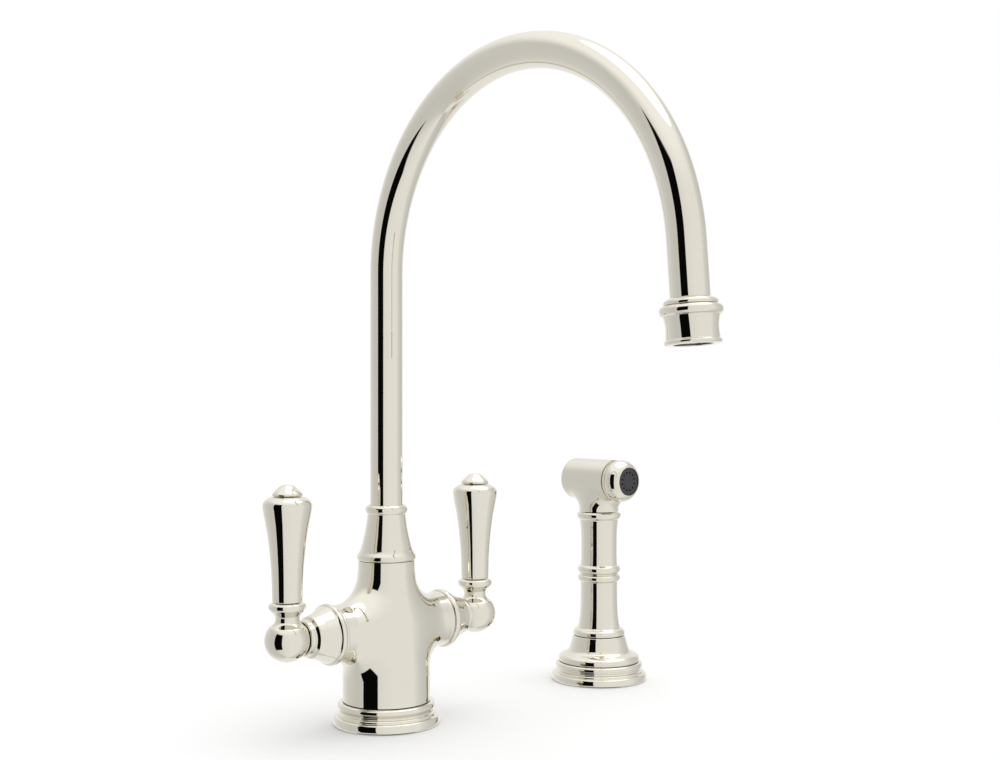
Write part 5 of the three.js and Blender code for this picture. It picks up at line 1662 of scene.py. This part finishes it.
    def connector(self) -> Piece:
        """The hose's end fitting, turned with a grip groove, under the stem.

        Returns:
            The piece, at its place.
        """
        outline = Outline([(1.9, -4.2)]).to(8.8, -4.2).to(9.4, -3.6).to(9.4, 2.0)
        outline.to(8.9, 2.4).to(8.9, 3.4).to(9.4, 3.8).to(9.4, 11.4).to(7.7, 11.4)
        outline.to(7.7, 15.0).to(6.9, 15.4).to(6.9, 17.0).to(7.7, 17.4).to(7.7, 21.4)
        outline = outline.to(1.9, 21.4).close().eased(0.25)
        return Bench.turned("hose_connector_turned", outline, HIDDEN, Place(x=SPRAY_X))

    def build(self, finisher: Finisher) -> None:
        """Makes the handset's pieces, and dresses the plunger and the spring.

        Args:
            finisher: Coats the pieces and hands them over.
        """
        nickel = Finish.NICKEL
        finisher.polish_over(self.stem(), "handset", nickel, "handset_stem")
        finisher.hand_over(self.head(), "handset", nickel, "handset_head")
        finisher.polish_over(self.rear_ring(), "handset", nickel)
        finisher.polish_over(self.nozzle_ring(), "handset", nickel, "spray_ring")
        finisher.polish_over(self.face(), "handset", Finish.SPRAY_RUBBER, "spray_face")
        finisher.polish_over(self.button(), "button", nickel, "spray_button")
        finisher.polish_over(self.connector(), "hose_end", Finish.BRASS, "hose_connector")
        finisher.dress_nodes(Finish.BRASS, "valve_plunger")
        finisher.dress_nodes(Finish.STEEL, "button_spring")


# ------------------------------------------------------------------------ studio


class WorldBoard(Board):
    """The board that writes the surroundings as a function of direction."""

    def __init__(self, world: bpy.types.World) -> None:
        """Clears the world's nodes and starts from the direction looked at.

        Args:
            world: The world that is written.
        """
        super().__init__(world.node_tree)
        self.tree.nodes.clear()
        self.source = self.add("ShaderNodeTexCoord")

    def feed(self, value: object, socket: Socket) -> None:
        """Links a socket, or sets a plain number.

        Args:
            value: A socket or a number.
            socket: The input that takes it.
        """
        if isinstance(value, Socket):
            self.link(value, socket)
        elif socket.type == "RGBA":
            socket.default_value = (value, value, value, 1)
        else:
            socket.default_value = value

    def dot(self, direction: Vector) -> Socket:
        """How far the direction looked at agrees with another one.

        Args:
            direction: The other direction.

        Returns:
            The socket that gives it.
        """
        node = self.add("ShaderNodeVectorMath", operation="DOT_PRODUCT")
        node.inputs[1].default_value = direction
        self.link(self.source.outputs["Generated"], node.inputs[0])
        return node.outputs["Value"]

    def math(self, operation: str, *values: object) -> Socket:
        """One step of arithmetic.

        Args:
            operation: Name of the operation.
            values: Sockets or numbers that it takes.

        Returns:
            The socket that gives it.
        """
        node = self.add("ShaderNodeMath", operation=operation)
        for value, socket in zip(values, node.inputs):
            self.feed(value, socket)
        return node.outputs[0]

    def spread(self, value: Socket, low: float, high: float, how: str = "LINEAR") -> Socket:
        """Maps low to high onto zero to one, held at both ends.

        Args:
            value: What is mapped.
            low: What becomes zero.
            high: What becomes one.
            how: The curve between them.

        Returns:
            The socket that gives it.
        """
        node = self.add(
            "ShaderNodeMapRange", interpolation_type=how, From_Min=low, From_Max=high
        )
        self.link(value, node.inputs["Value"])
        return node.outputs["Result"]

    def ramp(self, value: Socket, bands: Stations) -> Socket:
        """Grey levels against degrees, from -180 to 180.

        Args:
            value: The angle, as a share of the full turn.
            bands: Degrees and the grey level there.

        Returns:
            The socket that gives it.
        """
        node = self.add("ShaderNodeValToRGB")
        stops = node.color_ramp.elements
        while len(stops) < len(bands):
            stops.new(0.5)
        for stop, (degrees, level) in zip(stops, bands):
            stop.position = (degrees + 180) / 360
            stop.color = (level, level, level, 1)
        self.link(value, node.inputs["Fac"])
        return node.outputs["Color"]

    def mix(self, share: object, first: object, second: object) -> Socket:
        """Blends two colours.

        Args:
            share: Share of the second colour.
            first: The first colour.
            second: The second colour.

        Returns:
            The socket that gives it.
        """
        node = self.add("ShaderNodeMix", data_type="RGBA")
        for value, index in ((share, 0), (first, 6), (second, 7)):
            self.feed(value, node.inputs[index])
        return node.outputs[2]

    def output(self, colour: Socket) -> None:
        """Shows the camera plain white, and everything else the colour.

        Args:
            colour: The light that the object gets.
        """
        soft = self.add("ShaderNodeBackground")
        self.link(colour, soft.inputs["Color"])
        plain = self.add("ShaderNodeBackground", Color=(1, 1, 1, 1))
        path = self.add("ShaderNodeLightPath")
        choice = self.add("ShaderNodeMixShader")
        self.link(path.outputs["Is Camera Ray"], choice.inputs[0])
        self.link(soft.outputs[0], choice.inputs[1])
        self.link(plain.outputs[0], choice.inputs[2])
        end = self.add("ShaderNodeOutputWorld")
        self.link(choice.outputs[0], end.inputs["Surface"])


@dataclass
class Studio:
    """Pale floor, soft surroundings with one dark flag, and the camera."""

    camera_x: float = -575.4
    camera_y: float = -745.8
    camera_height: float = 230.5
    heading: float = 42.31
    lens: float = 50.15
    flag_sides: Pair = (-58.0, -17.5)
    flag_heights: Pair = (-38.0, 36.0)
    ceiling: Pair = (26.0, 60.0)
    ceiling_light: float = 1.15
    flag_light: float = 0.003
    side_blur: float = 0.6
    end_blur: float = 1.5
    floor_half: float = 6000.0
    floor_height: float = -0.4
    floor_grey: float = 0.94
    lamp_energy: float = 0.45
    lamp_breadth: float = 50.0
    bands: Stations = (
        (-180, 1.0), (-150, 0.98), (-132, 0.87), (-112, 0.77), (-76, 0.69), (-56, 0.72),
        (-30, 0.88), (0, 0.935), (25, 0.98), (80, 0.98), (94, 0.84), (106, 0.77), (136, 0.66),
        (150, 0.95), (180, 1.0),
    )

    def right(self) -> Vector:
        """The camera's right."""
        angle = math.radians(self.heading)
        return Vector((math.cos(angle), -math.sin(angle), 0))

    def towards(self) -> Vector:
        """From the object towards the camera."""
        angle = math.radians(self.heading)
        return Vector((-math.sin(angle), -math.cos(angle), 0))

    def stand(self, name: str, data: bpy.types.ID) -> Piece:
        """Puts a camera, a lamp or a sheet into the scene.

        Args:
            name: Name of the object.
            data: What it shows.

        Returns:
            The object.
        """
        item = bpy.data.objects.new(name, data)
        bpy.context.scene.collection.objects.link(item)
        return item

    def camera(self) -> None:
        """Sets the camera at the photograph's place."""
        data = bpy.data.cameras.new("camera")
        data.lens, data.sensor_width = self.lens, 36.0
        data.clip_start, data.clip_end = 0.01, 50.0
        item = self.stand("camera", data)
        item.location = Vector((self.camera_x, self.camera_y, self.camera_height)) * MM
        item.rotation_euler = (math.radians(90), 0, math.radians(-self.heading))
        bpy.context.scene.camera = item

    def surroundings(self) -> None:
        """A white background for the camera, and soft light with one dark flag for the rest."""
        world = bpy.data.worlds.new("studio")
        bpy.context.scene.world = world
        world.use_nodes = True
        board = WorldBoard(world)
        azimuth = board.math("ARCTAN2", board.dot(self.right()), board.dot(self.towards()))
        azimuth = board.math("MULTIPLY", azimuth, 180 / math.pi)
        height = board.math("ARCSINE", board.dot(Vector((0, 0, 1))))
        height = board.math("MULTIPLY", height, 180 / math.pi)
        soft = board.ramp(board.spread(azimuth, -180, 180), self.bands)
        overhead = board.spread(height, *self.ceiling, "SMOOTHSTEP")
        soft = board.mix(overhead, soft, self.ceiling_light)
        (left, right), side = self.flag_sides, self.side_blur
        (low, high), end = self.flag_heights, self.end_blur
        flag = board.spread(azimuth, left - side, left + side)
        for edge in (
            board.spread(azimuth, right + side, right - side),
            board.spread(height, low - end, low + end),
            board.spread(height, high + end, high - end),
        ):
            flag = board.math("MULTIPLY", flag, edge)
        board.output(board.mix(flag, soft, self.flag_light))

    def sheet(self, name: str, corners: list[Vector]) -> Piece:
        """A flat sheet with these corners, as part of the studio.

        Args:
            name: Name of the sheet.
            corners: Its corners in order.

        Returns:
            The sheet.
        """
        mesh = bpy.data.meshes.new(name)
        mesh.from_pydata([tuple(c) for c in corners], [], [tuple(range(len(corners)))])
        item = self.stand(name, mesh)
        return item

    def floor(self) -> None:
        """A wide pale floor that keeps the object's shadow and stays out of the metal."""
        signs = ((-1, -1), (1, -1), (1, 1), (-1, 1))
        half, height = self.floor_half, self.floor_height
        item = self.sheet("floor", [Vector((x * half, y * half, height)) * MM for x, y in signs])
        board = NodeBoard("floor")
        shader = board.shader
        shader.inputs["Base Color"].default_value = (*[self.floor_grey] * 3, 1)
        shader.inputs["Roughness"].default_value = 0.9
        shader.inputs["Specular IOR Level"].default_value = 0.0
        item.visible_glossy = False
        item.data.materials.append(board.material)

    def lamps(self) -> None:
        """One broad soft lamp from high on the right, which also draws the soft shadow."""
        data = bpy.data.lights.new("broad_lamp", "SUN")
        data.energy, data.angle = self.lamp_energy, math.radians(self.lamp_breadth)
        item = self.stand("broad_lamp", data)
        way = self.right() * 0.25 - self.towards() * 0.15 + Vector((0, 0, 1))
        item.rotation_euler = way.to_track_quat("Z", "Y").to_euler()

    def build(self) -> None:
        """Sets up the whole studio."""
        self.camera()
        self.surroundings()
        self.floor()
        self.lamps()
        bpy.context.scene.view_settings.view_transform = "Standard"


def main() -> None:
    """Builds the studio and every sub-assembly in order."""
    logging.basicConfig(level=logging.INFO, format="%(name)s %(message)s")
    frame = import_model()
    finisher = Finisher(frame["nodes"])
    Studio().build()
    MouldedFoot(
        "base_flange", bore=22.4, radius=36.1, lower_top=6.3, step=33.3, neck=31.75,
        bead=33.0, height=15.2, gasket=30.1,
    ).build(finisher)
    MixerBody().build(finisher)
    for side, axis in (("left", Axis.LEFT), ("right", Axis.RIGHT)):
        Handle(side, axis).build(finisher)
    Spout().build(finisher)
    MouldedFoot(
        "spray_flange", bore=17.5, radius=36.4, lower_top=5.7, step=34.1, neck=32.4,
        bead=33.4, height=14.0, gasket=31.2, x=SPRAY_X,
    ).build(finisher)
    SprayHolder().build(finisher)
    SprayHandset().build(finisher)


if __name__ == "__main__":
    main()
